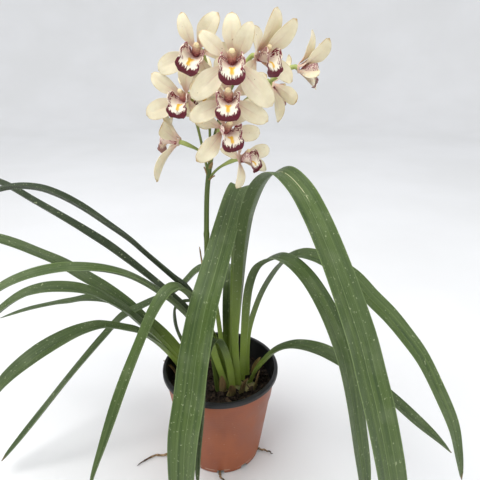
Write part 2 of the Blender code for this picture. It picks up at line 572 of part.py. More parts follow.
def lip_grid(size, rows, columns):
    """Midsurface points of the lip: a trough whose sides stand up beside the column, then a broad lobe that
    bends down and back. Rows run from its foot to its tip."""
    share = np.linspace(0, 1, rows)[:, None, None]
    v = np.linspace(-1, 1, columns)[None, :, None]
    line = smooth_path(LIP_LINE, rows) * size
    tangent = directions(line)
    right = np.array([1.0, 0, 0])
    upper = np.cross(tangent, right)
    half = np.interp(share, *zip(*LIP_HALF_WIDTHS)) * size
    curl = np.radians(np.interp(share, *zip(*LIP_CURLS)))
    across = half / curl * np.sin(v * curl)
    lift = half / curl * (1 - np.cos(v * curl))
    return line[:, None] + across * right + lift * upper[:, None]


def make_lip(flower, name, place):
    bm = bmesh.new()
    sheet_solid(bm, lip_grid(flower["size"], 7, 5), LIP_THICKNESS)
    bmesh.ops.transform(bm, matrix=place, verts=bm.verts)
    return object_from(bm, name, "lip_burgundy")


def make_column(flower, name, place):
    """The column arches forward over the lip and swells into a round cap."""
    size = flower["size"]
    path = smooth_path(COLUMN_LINE, 7) * size
    radii = np.interp(np.linspace(0, 1, 7), *zip(*COLUMN_RADII)) * size
    bm = bmesh.new()
    tube_solid(bm, path, radii, 8, up=Vector((1, 0, 0)))
    bmesh.ops.transform(bm, matrix=place, verts=bm.verts)
    return object_from(bm, name, "column_rose")


def make_flowers():
    for letter, flower in FLOWERS.items():
        name = "flower_" + letter
        place = flower_frame(flower)
        make_tepals(flower, name + "_tepals", place)
        make_lip(flower, name + "_lip", place)
        make_column(flower, name + "_column", place)


def make_stem():
    """The upright axis, and a curved stalk from it to the back of each flower, joined into one body."""
    bm = bmesh.new()
    tube_solid(
        bm, smooth_path(STEM_AXIS, STEM_STATIONS), np.linspace(*STEM_RADIUS, STEM_STATIONS), STEM_SIDES)
    stem = object_from(bm, "flower_stem", "stem_green")
    dense = smooth_path(STEM_AXIS, 201)
    for letter, flower in FLOWERS.items():
        place = flower_frame(flower)
        back = place @ Vector((0, 0, -TEPAL_THICKNESS / 2 - 3 * GAP))
        behind = place @ Vector((0, 0, -STALK_LEAD))
        start = Vector(dense[round(flower["stalk"] * 200)])
        climb = start.lerp(behind, 0.45) + Vector((0, 0, STALK_RISE))
        line = smooth_path([start, climb, behind, back], STALK_STATIONS)
        bm = bmesh.new()
        tube_solid(bm, line, [STALK_RADIUS] * STALK_STATIONS, STALK_SIDES)
        stalk = object_from(bm, "stalk_" + letter, "stem_green", hidden=True)
        boolean(stem, stalk, "UNION")


def make_sheaths():
    """Dry bracts: pointed strips that wrap the stem at their foot and stand off it at their tip."""
    dense = smooth_path(STEM_AXIS, 201)
    for name, sheath in SHEATHS.items():
        rows, columns = 6, 5
        first, last = (round(sheath[end] * 200) for end in ("start", "end"))
        line = smooth_path(dense[first:last + 1], rows)
        share = np.linspace(0, 1, rows)[:, None, None]
        facing = math.radians(sheath["facing"])
        wrap = math.radians(sheath["wrap"]) * (1 - 0.9 * share**1.5)
        angle = facing + np.linspace(-1, 1, columns)[None, :, None] * wrap
        radius = SHEATH_RADIUS + SHEATH_STAND_OFF * share**2
        ring = np.concatenate([np.cos(angle), np.sin(angle), 0 * angle], axis=2)
        bm = bmesh.new()
        sheet_solid(bm, line[:, None] + radius * ring, SHEATH_THICKNESS)
        object_from(bm, name, "dry_sheath")


def make_roots():
    for name, root in ROOTS.items():
        path = smooth_path(root["path"], 9)
        radii = np.linspace(root["radius"], root["radius"] * 0.6, 9)
        bm = bmesh.new()
        tube_solid(bm, path, radii, 7, up=Vector((0, 0, 1)))
        object_from(bm, name, "root_tan")


def main():
    clear_scene()
    make_pot()
    mix = make_mix()
    make_bulbs(mix)
    make_leaves()
    make_stem()
    make_sheaths()
    make_flowers()
    make_roots()


main()
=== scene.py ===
import math

import bmesh
import bpy
import numpy as np
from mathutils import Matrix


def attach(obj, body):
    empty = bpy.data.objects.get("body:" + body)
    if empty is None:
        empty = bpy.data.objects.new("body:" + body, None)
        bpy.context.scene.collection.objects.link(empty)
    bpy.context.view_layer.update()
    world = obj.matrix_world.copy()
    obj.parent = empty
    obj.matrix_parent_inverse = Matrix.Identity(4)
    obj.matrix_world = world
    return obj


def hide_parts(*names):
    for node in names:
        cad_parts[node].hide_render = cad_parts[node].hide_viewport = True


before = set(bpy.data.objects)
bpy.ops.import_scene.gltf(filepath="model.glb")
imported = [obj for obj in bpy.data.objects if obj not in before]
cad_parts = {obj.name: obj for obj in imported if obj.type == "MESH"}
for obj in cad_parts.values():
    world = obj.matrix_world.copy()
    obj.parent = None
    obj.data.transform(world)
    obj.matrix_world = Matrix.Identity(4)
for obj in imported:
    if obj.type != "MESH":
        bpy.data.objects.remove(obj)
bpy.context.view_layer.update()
random = np.random.default_rng(11)


def unit(vectors):
    return vectors / np.maximum(np.linalg.norm(vectors, axis=-1, keepdims=True), 1e-12)


def eased(share):
    # smooth step: 3 s^2 - 2 s^3 of a share held between 0 and 1
    share = np.clip(share, 0, 1)
    return share * share * (3 - 2 * share)


def smoothPath(points, count, bendPace=0.0):
    # Catmull-Rom curve through the points, read at even steps of its length, or closer together at bends where
    # bendPace counts each radian turned as that much more length
    points = np.array(points, float)
    padded = np.vstack([2 * points[0] - points[1], points, 2 * points[-1] - points[-2]])
    t = np.linspace(0, 1, 24, endpoint=False)[:, None]
    before, start, end, after = (padded[k:len(padded) - 3 + k, None] for k in range(4))
    dense = 0.5 * (2 * start + (end - before) * t + (2 * before - 5 * start + 4 * end - after) * t**2
                   + (3 * start - before - 3 * end + after) * t**3)
    dense = np.vstack([dense.reshape(-1, points.shape[1]), points[-1:]])
    steps = np.diff(dense, axis=0)
    lengths = np.linalg.norm(steps, axis=1)
    headings = steps / lengths[:, None]
    lengths[1:] += bendPace * np.arccos(np.clip(np.sum(headings[1:] * headings[:-1], axis=1), -1, 1))
    travelled = np.concatenate([[0], np.cumsum(lengths)])
    wanted = np.linspace(0, travelled[-1], count)
    return np.stack([np.interp(wanted, travelled, column) for column in dense.T], axis=1)


def directions(path):
    return unit(np.gradient(path, axis=0))


def gridCells(rows, columns, first=0):
    # the four corners of every cell of a grid whose points are numbered row by row
    corner = (np.arange(rows - 1)[:, None] * columns + np.arange(columns - 1)).ravel() + first
    return np.stack([corner, corner + 1, corner + columns + 1, corner + columns], axis=1)


def sheetShell(grid, thickness, tone=0.0, face=1):
    # a closed plate: the grid pushed half the thickness along its normals to each side, with a rim round it;
    # face is 1 where the normals look out of its upper face, and -1 where they look out of its underside
    rows, columns = grid.shape[:2]
    normals = unit(np.cross(np.gradient(grid, axis=1), np.gradient(grid, axis=0)))
    push = normals * (np.broadcast_to(thickness, (rows, columns)) / 2)[..., None]
    count = rows * columns
    number = np.arange(count).reshape(rows, columns)
    rim = np.concatenate([number[:-1, 0], number[-1, :-1], number[:0:-1, -1], number[0, :0:-1]])
    after = np.roll(rim, -1)
    faces = np.concatenate([gridCells(rows, columns), gridCells(rows, columns, count)[:, ::-1],
                            np.stack([rim, after, after + count, rim + count], axis=1)])
    u, v = np.meshgrid(np.linspace(0, 1, columns), np.linspace(0, 1, rows))
    uv = np.stack([u.ravel(), v.ravel()], axis=1)
    return shellOf(np.concatenate([(grid + push).reshape(-1, 3), (grid - push).reshape(-1, 3)]), faces.tolist(),
                   np.concatenate([uv, uv]), tone, np.repeat([0.0, 1.0][::face], count))


def ringFaces(rows, sides):
    # the walls between closed rings numbered one after the other, and a fan to a pole at each end
    index = np.arange(rows * sides).reshape(rows, sides)
    turned = np.roll(index, -1, axis=1)
    walls = np.stack([index[:-1], turned[:-1], turned[1:], index[1:]], axis=2).reshape(-1, 4).tolist()
    first, last = rows * sides, rows * sides + 1
    return (walls + [[first, b, a] for a, b in zip(index[0], turned[0])]
            + [[last, a, b] for a, b in zip(index[-1], turned[-1])])


def shellOf(points, faces, uv, tone=0.0, under=0.0):
    count = len(points)
    return dict(points=points, faces=faces, uv=uv, under=np.full(count, under, float),
                tone=np.full(count, float(tone)))


def tubeShell(path, radii, sides, up=(0, 1, 0), tone=0.0, flatten=1.0):
    # a closed tube: at each point of the path, a circle of that radius square to the path, flattened across it
    path = np.asarray(path, float)
    rows = len(path)
    tangent = directions(path)
    side = unit(np.cross(tangent, np.broadcast_to(np.array(up, float), tangent.shape)))
    lift = np.cross(tangent, side) * flatten
    angle = np.linspace(0, 2 * math.pi, sides, endpoint=False)[None, :, None]
    radii = np.asarray(radii, float).reshape(rows, -1)[..., None]
    ring = path[:, None] + radii * (np.cos(angle) * side[:, None] + np.sin(angle) * lift[:, None])
    u, v = np.meshgrid(np.abs(np.linspace(-1, 1, sides)), np.linspace(0, 1, rows))
    uv = np.concatenate([np.stack([u.ravel(), v.ravel()], axis=1), [[0.5, 0], [0.5, 1]]])
    return shellOf(np.concatenate([ring.reshape(-1, 3), path[:1], path[-1:]]), ringFaces(rows, sides), uv, tone)


def pebbleShell(rows=8, sides=10):
    # a closed ball of radius 1: rings of points from pole to pole, downwards, so its faces are turned over
    polar = np.linspace(0, math.pi, rows + 2)[1:-1, None]
    angle = np.linspace(0, 2 * math.pi, sides, endpoint=False)[None, :]
    ring = np.stack([np.sin(polar) * np.cos(angle), np.sin(polar) * np.sin(angle),
                     np.cos(polar) + 0 * angle], axis=2).reshape(-1, 3)
    faces = [face[:1] + face[:0:-1] for face in ringFaces(rows, sides)]
    return np.concatenate([ring, [[0, 0, 1], [0, 0, -1]]]), faces


def blob(centre, axes, tone=0.0, rows=10, sides=14):
    # a closed ball stretched by three half axes (columns of a 3 x 3 matrix)
    points, faces = pebbleShell(rows, sides)
    uv = np.stack([points[:, 0] / 2 + 0.5, points[:, 2] / 2 + 0.5], axis=1)
    return shellOf(np.asarray(centre) + points @ np.asarray(axes, float).T, faces, uv, tone)


def makePiece(name, shells, material, slot, *nodes, sharpFrom=55, marks=("under", "tone")):
    # joins closed shells into one piece, carries their map and marks, and hands it to the frame
    first, faces = 0, []
    for shell in shells:
        faces += [[corner + first for corner in face] for face in shell["faces"]]
        first += len(shell["points"])
    mesh = bpy.data.meshes.new(name)
    mesh.from_pydata(np.concatenate([shell["points"] for shell in shells]).tolist(), [], faces)
    corners = np.empty(len(mesh.loops), np.int32)
    mesh.loops.foreach_get("vertex_index", corners)
    layer = mesh.uv_layers.new(name="length")
    layer.data.foreach_set("uv", np.concatenate([shell["uv"] for shell in shells])[corners].ravel())
    for title in marks:
        values = np.concatenate([shell[title] for shell in shells])
        mesh.attributes.new(title, "FLOAT", "POINT").data.foreach_set("value", values)
    mesh.materials.append(material)
    tidy = bmesh.new()
    tidy.from_mesh(mesh)
    bmesh.ops.recalc_face_normals(tidy, faces=tidy.faces)
    tidy.to_mesh(mesh)
    tidy.free()
    mesh.shade_smooth()
    mesh.set_sharp_from_angle(angle=math.radians(sharpFrom))
    piece = bpy.data.objects.new(name, mesh)
    bpy.context.collection.objects.link(piece)
    if slot is None:
        return piece
    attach(piece, "root")
    if nodes:
        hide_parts(*nodes)
    return piece


def put(tree, kind, inputs=None, **settings):
    made = tree.nodes.new("ShaderNode" + kind)
    for key, value in settings.items():
        setattr(made, key, value)
    for key, value in (inputs or {}).items():
        if isinstance(value, bpy.types.NodeSocket):
            tree.links.new(value, made.inputs[key])
        else:
            made.inputs[key].default_value = value
    return made


def maths(operation, first, second=0.0):
    return put(first.id_data, "Math", {0: first, 1: second}, operation=operation).outputs[0]


def times(first, second):
    return maths("MULTIPLY", first, second)


def blended(mask, first, second):
    colours = [(*value, 1.0) if isinstance(value, tuple) else value for value in (first, second)]
    return put(mask.id_data, "Mix", {0: mask, 6: colours[0], 7: colours[1]}, data_type="RGBA").outputs[2]


def between(value, low, high, least=0.0, most=1.0):
    return put(value.id_data, "MapRange", {"Value": value, "From Min": low, "From Max": high, "To Min": least,
                                           "To Max": most}, interpolation_type="SMOOTHSTEP").outputs[0]


def noise(place, size, detail, roughness=0.5):
    return put(place.id_data, "TexNoise", {"Vector": place, "Scale": size, "Detail": detail,
                                           "Roughness": roughness}).outputs["Fac"]


def mark(tree, name):
    return put(tree, "Attribute", attribute_name=name).outputs["Fac"]


def newGroup(name, inputs, output):
    tree = bpy.data.node_groups.new(name, "ShaderNodeTree")
    for title, kind in inputs.items():
        tree.interface.new_socket(title, in_out="INPUT", socket_type="NodeSocket" + kind)
    tree.interface.new_socket(output, in_out="OUTPUT", socket_type="NodeSocketFloat")
    return tree, tree.nodes.new("NodeGroupInput").outputs, tree.nodes.new("NodeGroupOutput").inputs[output]


def grainGroup():
    # streaks that run along a blade: noise read on its map, many times across and few times along
    tree, given, result = newGroup("streaksAlong", dict.fromkeys(
        ("Across", "Along", "Tone", "Lines", "Stretch"), "Float"), "Streaks")
    place = put(tree, "CombineXYZ", {0: times(given["Across"], given["Lines"]),
                                     1: times(given["Along"], given["Stretch"]),
                                     2: times(given["Tone"], 37.0)}).outputs[0]
    tree.links.new(between(noise(place, 1.0, 3.0, 0.6), 0.3, 0.7), result)
    return tree


def fleckGroup():
    # small scattered flecks: the tops of a fine noise
    tree, given, result = newGroup("scatteredFlecks", {"Vector": "Vector", "Size": "Float", "Spread": "Float"},
                                   "Flecks")
    over = maths("SUBTRACT", noise(given["Vector"], given["Size"], 2.0), given["Spread"])
    tree.links.new(between(over, 0.0, 0.05), result)
    return tree


streaksAlong = grainGroup()
scatteredFlecks = fleckGroup()


def startMaterial(name, roughness, specular):
    # the material's tree and shader, its place across and along the piece's map, and its place in space
    material = bpy.data.materials.new(name)
    material.use_nodes = True
    tree = material.node_tree
    shader = tree.nodes["Principled BSDF"]
    shader.inputs["Roughness"].default_value = roughness
    shader.inputs["Specular IOR Level"].default_value = specular
    split = put(tree, "SeparateXYZ", {0: put(tree, "UVMap", uv_map="length").outputs[0]})
    spot = put(tree, "TexCoord").outputs["Object"]
    return material, tree, shader, split.outputs[0], split.outputs[1], spot


def streaks(across, along, lines, stretch):
    tree = across.id_data
    return put(tree, "Group", {"Across": across, "Along": along, "Tone": mark(tree, "tone"), "Lines": lines,
                               "Stretch": stretch}, node_tree=streaksAlong).outputs[0]


def flecks(spot, size, spread):
    return put(spot.id_data, "Group", {"Vector": spot, "Size": size, "Spread": spread},
               node_tree=scatteredFlecks).outputs[0]


def finishWith(shader, colour, height, strength, distance):
    tree = shader.id_data
    tree.links.new(colour, shader.inputs["Base Color"])
    bump = put(tree, "Bump", {"Height": height, "Strength": strength, "Distance": distance})
    tree.links.new(bump.outputs[0], shader.inputs["Normal"])


def fromMiddle(across):
    # 0 on the midrib, 1 at both edges
    return maths("ABSOLUTE", times(maths("SUBTRACT", across, 0.5), 2.0))


# in the finishes: lines are how many streaks go across and how fast they change along; sizes are a noise's
# scale, with the spread of its flecks after it; shares are how strongly a colour covers; sheen is roughness and
# gloss; bump is strength and depth
leafFinish = dict(
    sheen=(0.42, 0.36), dark=(0.024, 0.052, 0.007), mid=(0.058, 0.098, 0.016), light=(0.14, 0.20, 0.055),
    midrib=(0.20, 0.27, 0.10), foot=(0.34, 0.46, 0.08), under=(0.075, 0.115, 0.030), tip=(0.16, 0.09, 0.03),
    # shade is the near-black of painted shadow, laid over whole leaves that hang in shade
    fleck=(0.40, 0.45, 0.25), scar=(0.62, 0.62, 0.36), shade=(0.006, 0.013, 0.004), dust=(0.34, 0.38, 0.25),
    broadLines=(5.0, 5.0), fineLines=(62.0, 3.0), scarLines=(9.0, 60.0), fineShare=0.34, underShare=0.55,
    ribs=((0, 0.045, 0.75), (0.5, 0.03, 0.3)), edgeShare=0.5, footEnd=0.26, footShare=0.85, tipFrom=0.985,
    scarLean=0.25, scarSide=0.49, scarSpan=(0.40, 0.55), scarShare=0.85, fleckSize=(420.0, 0.665),
    spotSize=(170.0, 0.70), fleckShare=0.55, dustSize=38.0, dustShare=0.12, gloss=(0.36, 0.50),
    bump=(0.35, 0.0006))


def makeLeafFinish():
    f = leafFinish
    material, tree, shader, across, along, spot = startMaterial("strapLeafGreen", *f["sheen"])
    middle = fromMiddle(across)
    fine = streaks(across, along, *f["fineLines"])
    colour = blended(streaks(across, along, *f["broadLines"]), f["dark"], f["mid"])
    colour = blended(times(fine, f["fineShare"]), colour, f["light"])
    colour = blended(times(mark(tree, "under"), f["underShare"]), colour, f["under"])
    for place, width, share in f["ribs"]:  # the keel, and a fainter rib in each half
        away = maths("ABSOLUTE", maths("SUBTRACT", middle, place))
        colour = blended(between(away, 0.0, width, share, 0.0), colour, f["midrib"])
    colour = blended(between(middle, 0.93, 1.0, 0.0, f["edgeShare"]), colour, f["midrib"])
    # painted shadow: the whole blade darkened towards near black, as far as its shade mark says
    colour = blended(mark(tree, "shade"), colour, f["shade"])
    colour = blended(between(along, 0.02, f["footEnd"], f["footShare"], 0.0), colour, f["foot"])
    colour = blended(between(along, f["tipFrom"], 1.0), colour, f["tip"])
    # one pale broken scratch that leans across the blade
    leaning = maths("ADD", times(along, f["scarLean"]), f["scarSide"])
    scar = between(maths("ABSOLUTE", maths("SUBTRACT", across, leaning)), 0.006, 0.016, 1.0, 0.0)
    start, end = f["scarSpan"]
    scar = times(times(scar, mark(tree, "scar")), times(between(along, start, start + 0.01),
                                                        between(along, end, end - 0.02)))
    scar = times(scar, between(streaks(across, along, *f["scarLines"]), 0.25, 0.4))
    colour = blended(times(scar, f["scarShare"]), colour, f["scar"])
    specks = maths("MAXIMUM", flecks(spot, *f["fleckSize"]), flecks(spot, *f["spotSize"]))
    colour = blended(times(specks, f["fleckShare"]), colour, f["fleck"])
    dust = noise(spot, f["dustSize"], 4.0)
    colour = blended(between(dust, 0.45, 0.75, 0.0, f["dustShare"]), colour, f["dust"])
    tree.links.new(between(dust, 0.3, 0.7, *f["gloss"]), shader.inputs["Roughness"])
    finishWith(shader, colour, fine, *f["bump"])
    return material


petalFinish = dict(
    sheen=(0.5, 0.3), cream=(0.80, 0.73, 0.53), ivory=(0.72, 0.65, 0.46), flush=(0.60, 0.30, 0.27),
    vein=(0.70, 0.48, 0.40), edge=(0.46, 0.29, 0.09), speck=(0.25, 0.16, 0.08), glow=0.18,
    glowColour=(1.0, 0.7, 0.4), glowDepth=0.003, veinLines=(22.0, 2.0), veinShare=(0.55, 0.08),
    cloudSize=90.0, flushEnd=0.34, flushShare=0.50, stripeHalf=0.10, rimFrom=0.84, tipFrom=0.93,
    speckSize=(330.0, 0.735), speckShare=0.8, bump=(0.25, 0.0005))


def makePetalFinish():
    f = petalFinish
    material, tree, shader, across, along, spot = startMaterial("petalCream", *f["sheen"])
    shader.inputs["Subsurface Weight"].default_value = f["glow"]
    shader.inputs["Subsurface Radius"].default_value = f["glowColour"]
    shader.inputs["Subsurface Scale"].default_value = f["glowDepth"]
    middle = fromMiddle(across)
    veins = streaks(across, along, *f["veinLines"])
    cloud = noise(spot, f["cloudSize"], 3.0)
    colour = blended(between(cloud, 0.35, 0.65), f["cream"], f["ivory"])
    colour = blended(times(veins, between(along, 0.0, 0.75, *f["veinShare"])), colour, f["vein"])
    colour = blended(between(along, 0.02, f["flushEnd"], f["flushShare"], 0.0), colour, f["flush"])
    stripe = times(between(middle, 0.0, f["stripeHalf"], 0.5, 0.0), between(along, 0.1, 0.8, 1.0, 0.0))
    colour = blended(stripe, colour, f["flush"])
    rim = maths("MAXIMUM", between(middle, f["rimFrom"], 1.0), between(along, f["tipFrom"], 1.0))
    rim = times(times(rim, between(along, 0.45, 0.95)), between(cloud, 0.38, 0.62, 0.25, 1.0))
    colour = blended(rim, colour, f["edge"])
    colour = blended(times(flecks(spot, *f["speckSize"]), f["speckShare"]), colour, f["speck"])
    finishWith(shader, colour, veins, *f["bump"])
    return material


lipFinish = dict(
    sheen=(0.45, 0.35), white=(0.88, 0.80, 0.64), pink=(0.76, 0.50, 0.46), burgundy=(0.105, 0.004, 0.014),
    rose=(0.19, 0.012, 0.032), yellow=(0.80, 0.48, 0.06), patchLines=(26.0, 15.0), toothLines=(21.0, 4.0),
    toothLength=0.14, borderRise=0.20, borderFrom=0.83, lobesEnd=0.58, underShare=0.4, bump=(0.25, 0.0004))


def makeLipFinish():
    f = lipFinish
    material, tree, shader, across, along, spot = startMaterial("lipBurgundy", *f["sheen"])
    middle = fromMiddle(across)
    patches = streaks(across, along, *f["patchLines"])
    teeth = times(streaks(across, along, *f["toothLines"]), f["toothLength"])
    end, edge = f["lobesEnd"], f["borderFrom"]
    colour = blended(between(along, 0.05, 0.5), f["pink"], f["white"])
    # the side lobes are spotted, more thickly towards their edges
    lobes = times(between(middle, 0.38, 0.95, 0.25, 0.95), between(along, end + 0.08, end))
    colour = blended(between(times(patches, lobes), 0.32, 0.42), colour, f["rose"])
    # the broad border of the middle lobe rises into teeth
    rise = times(maths("POWER", middle, 2.0), f["borderRise"])
    reach = maths("ADD", maths("ADD", along, rise), teeth)
    border = times(between(reach, edge, edge + 0.03), between(along, end - 0.005, end + 0.02))
    line = times(between(middle, 0.020, 0.040, 1.0, 0.0), between(along, end, end + 0.04))
    colour = blended(maths("MAXIMUM", border, line), colour, f["burgundy"])
    callus = times(between(along, 0.36, 0.44), between(along, 0.72, 0.64))
    colour = blended(times(between(middle, 0.10, 0.19, 1.0, 0.0), callus), colour, f["yellow"])
    colour = blended(times(mark(tree, "under"), f["underShare"]), colour, f["pink"])
    finishWith(shader, colour, patches, *f["bump"])
    return material


stemFinish = dict(
    sheen=(0.42, 0.45), olive=(0.050, 0.080, 0.010), light=(0.17, 0.23, 0.045), pale=(0.36, 0.42, 0.12),
    lines=(18.0, 9.0), lineShare=0.5, fleckSize=(700.0, 0.68), fleckShare=0.4, bump=(0.2, 0.0004))


def makeStemFinish():
    f = stemFinish
    material, tree, shader, across, along, spot = startMaterial("stemGreen", *f["sheen"])
    lines = streaks(across, along, *f["lines"])
    colour = blended(times(lines, f["lineShare"]), f["olive"], f["light"])
    colour = blended(mark(tree, "under"), colour, f["pale"])
    colour = blended(times(flecks(spot, *f["fleckSize"]), f["fleckShare"]), colour, f["light"])
    finishWith(shader, colour, lines, *f["bump"])
    return material


paperFinish = dict(
    sheen=(0.75, 0.2), brown=(0.20, 0.10, 0.05), straw=(0.46, 0.33, 0.14), green=(0.22, 0.26, 0.08),
    lines=(34.0, 3.0), greenEnd=0.5, greenShare=0.55, bump=(0.6, 0.0008))


def makePaperFinish():
    f = paperFinish
    material, tree, shader, across, along, spot = startMaterial("drySheathPaper", *f["sheen"])
    lines = streaks(across, along, *f["lines"])
    colour = blended(lines, f["brown"], f["straw"])
    colour = blended(between(along, 0.0, f["greenEnd"], f["greenShare"], 0.0), colour, f["green"])
    finishWith(shader, colour, lines, *f["bump"])
    return material


# finishes of two clouded colours and a third laid over them: where the piece is marked, in flecks, or at a tip
cloudFinishes = dict(
    columnRose=dict(sheen=(0.4, 0.4), cloud=(500.0, 2.0), spread=(0.4, 0.6), first=(0.20, 0.03, 0.045),
                    second=(0.42, 0.13, 0.13), over=(0.80, 0.66, 0.38), bump=(0.2, 0.0003)),
    bulbGreen=dict(sheen=(0.5, 0.4), cloud=(120.0, 5.0), spread=(0.35, 0.6), first=(0.13, 0.17, 0.04),
                   second=(0.30, 0.26, 0.10), over=(0.10, 0.06, 0.03), flecks=(520.0, 0.62), bump=(0.5, 0.001)),
    rootTan=dict(sheen=(0.85, 0.2), cloud=(420.0, 5.0), spread=(0.35, 0.65), first=(0.13, 0.075, 0.035),
                 second=(0.40, 0.28, 0.16), over=(0.035, 0.02, 0.012), tip=(0.62, 0.80, 0.0, 0.85),
                 bump=(0.8, 0.001)),
    pottingBark=dict(sheen=(0.9, 0.2), cloud=(350.0, 6.0), spread=(0.35, 0.7), first=(0.008, 0.006, 0.004),
                     second=(0.045, 0.030, 0.020), over=(0.13, 0.085, 0.05), bump=(0.9, 0.0015)))


def makeCloudFinish(name):
    f = cloudFinishes[name]
    material, tree, shader, across, along, spot = startMaterial(name, *f["sheen"])
    cloud = noise(spot, *f["cloud"])
    colour = blended(between(cloud, *f["spread"]), f["first"], f["second"])
    if "flecks" in f:
        cover = flecks(spot, *f["flecks"])
    elif "tip" in f:
        cover = between(along, *f["tip"])
    else:
        cover = mark(tree, "under")
    finishWith(shader, blended(cover, colour, f["over"]), cloud, *f["bump"])
    return material


potFinish = dict(
    sheen=(0.5, 0.4), terracotta=(0.335, 0.095, 0.036), pale=(0.44, 0.17, 0.085), deep=(0.27, 0.070, 0.026),
    black=(0.010, 0.010, 0.011), dusty=(0.06, 0.055, 0.05), scuff=(0.52, 0.36, 0.27), cloudSize=26.0,
    wipedSize=70.0, wipedStretch=(1.0, 1.0, 0.12), paleShare=0.22, dustyShare=0.25, wornHeight=0.0045,
    wornWander=0.004, wornShare=0.8, scuffSize=(260.0, 0.71), scuffShare=0.40, gloss=(0.38, 0.55),
    rings=95.0, ringShare=0.15, cloudShare=0.6, bump=(0.25, 0.0008))


def makePotFinish():
    f = potFinish
    material, tree, shader, across, along, spot = startMaterial("twoTonePotPlastic", *f["sheen"])
    split = put(tree, "SeparateXYZ", {0: spot})
    x, y, z = (split.outputs[k] for k in range(3))
    radius = maths("SQRT", maths("ADD", times(x, x), times(y, y)))
    slope = (wallRadius(pot["height"]) - pot["baseRadius"]) / pot["height"]
    clear = maths("SUBTRACT", radius, times(z, slope))
    # the outside below the rim is terracotta, and the inside and the rim are black
    outside = between(clear, pot["baseRadius"] - 0.0011, pot["baseRadius"] - 0.0009)
    outside = maths("MAXIMUM", outside, maths("LESS_THAN", z, 0.0008))
    outside = times(outside, maths("LESS_THAN", z, pot["height"] - pot["rimDepth"] + 0.0002))
    cloud = noise(spot, f["cloudSize"], 6.0, 0.6)
    tall = put(tree, "Mapping", {"Vector": spot, "Scale": f["wipedStretch"]}).outputs[0]
    wiped = noise(tall, f["wipedSize"], 4.0)
    colour = blended(between(cloud, 0.35, 0.65), f["deep"], f["terracotta"])
    colour = blended(between(wiped, 0.55, 0.78, 0.0, f["paleShare"]), colour, f["pale"])
    # a scuffed line that wanders round the foot
    worn = maths("ADD", times(cloud, f["wornWander"]), f["wornHeight"])
    worn = between(maths("ABSOLUTE", maths("SUBTRACT", z, worn)), 0.0003, 0.0012, 1.0, 0.0)
    worn = times(worn, between(wiped, 0.42, 0.56))
    colour = blended(times(worn, f["wornShare"]), colour, f["scuff"])
    colour = blended(times(flecks(spot, *f["scuffSize"]), f["scuffShare"]), colour, f["scuff"])
    dark = blended(between(wiped, 0.5, 0.8, 0.0, f["dustyShare"]), f["black"], f["dusty"])
    tree.links.new(between(cloud, 0.3, 0.7, *f["gloss"]), shader.inputs["Roughness"])
    rings = put(tree, "TexWave", {"Vector": spot, "Scale": f["rings"], "Distortion": 0.6}, bands_direction="Z")
    height = maths("ADD", times(rings.outputs["Fac"], f["ringShare"]), times(cloud, f["cloudShare"]))
    finishWith(shader, blended(outside, dark, colour), height, *f["bump"])
    return material


pot = dict(height=0.1366, rimRadius=0.075, rimWidth=0.0050, rimDepth=0.0065, baseRadius=0.0523, wall=0.0018,
           footStep=0.0022, ringHeight=0.030, shoulder=(0.096, 0.098), shoulderStep=0.0009, floorRise=0.004,
           edgeRound=0.0020, holes=10, holeRadius=0.0060, holeDepth=0.012, holeInset=0.004, holeSides=24,
           sides=160, sharpFrom=35)


def wallRadius(height):
    top = pot["rimRadius"] - pot["rimWidth"] + pot["wall"]
    return pot["baseRadius"] + (top - pot["baseRadius"]) * height / pot["height"]


def turnedShell(profile, sides):
    # a closed body: (radius, height) points carried round the upright axis, the first and last on it
    profile = np.array(profile, float)
    middle = profile[1:-1]
    angle = np.linspace(0, 2 * math.pi, sides, endpoint=False)[None, :]
    radius = middle[:, :1]
    ring = np.stack([radius * np.cos(angle), radius * np.sin(angle), middle[:, 1:] + 0 * angle], axis=2)
    points = np.concatenate([ring.reshape(-1, 3), [[0, 0, profile[0, 1]], [0, 0, profile[-1, 1]]]])
    return shellOf(points, ringFaces(len(middle), sides), points[:, :2] * 5 + 0.5)


def potProfile():
    # half the pot's section, from the middle of its underside out, up, over the rolled rim and back down inside
    p = pot
    rimFoot = p["height"] - p["rimDepth"]
    innerTop = wallRadius(p["height"]) - p["wall"]
    below, above = p["shoulder"]
    e = p["edgeRound"]
    step = p["shoulderStep"]
    turns = [(1 - math.sin(a), 1 - math.cos(a)) for a in np.linspace(0, math.pi / 2, 6)]
    foot = [(p["baseRadius"] - p["footStep"] * a, p["footStep"] * b) for a, b in turns]
    roll = [(p["rimRadius"] - e * b, p["height"] - e * a) for a, b in turns]
    under = [(p["rimRadius"] - 0.5 * e * a, rimFoot + 0.5 * e * b) for a, b in turns]
    lip = [(innerTop + 0.6 * e * a, p["height"] - 0.6 * e * b) for a, b in turns]
    return [(0, 0), *foot, (wallRadius(p["ringHeight"]), p["ringHeight"]), (wallRadius(below), below),
            (wallRadius(above) + step, above), (wallRadius(rimFoot) + step * 0.7, rimFoot - 0.0002),
            *under, *roll, *lip, (wallRadius(above) - p["wall"] + step * 0.7, above),
            (wallRadius(below) - p["wall"], below), (wallRadius(p["floorRise"]) - p["wall"], p["floorRise"]),
            (wallRadius(0) - 2 * p["wall"], p["wall"]), (0, p["wall"])]


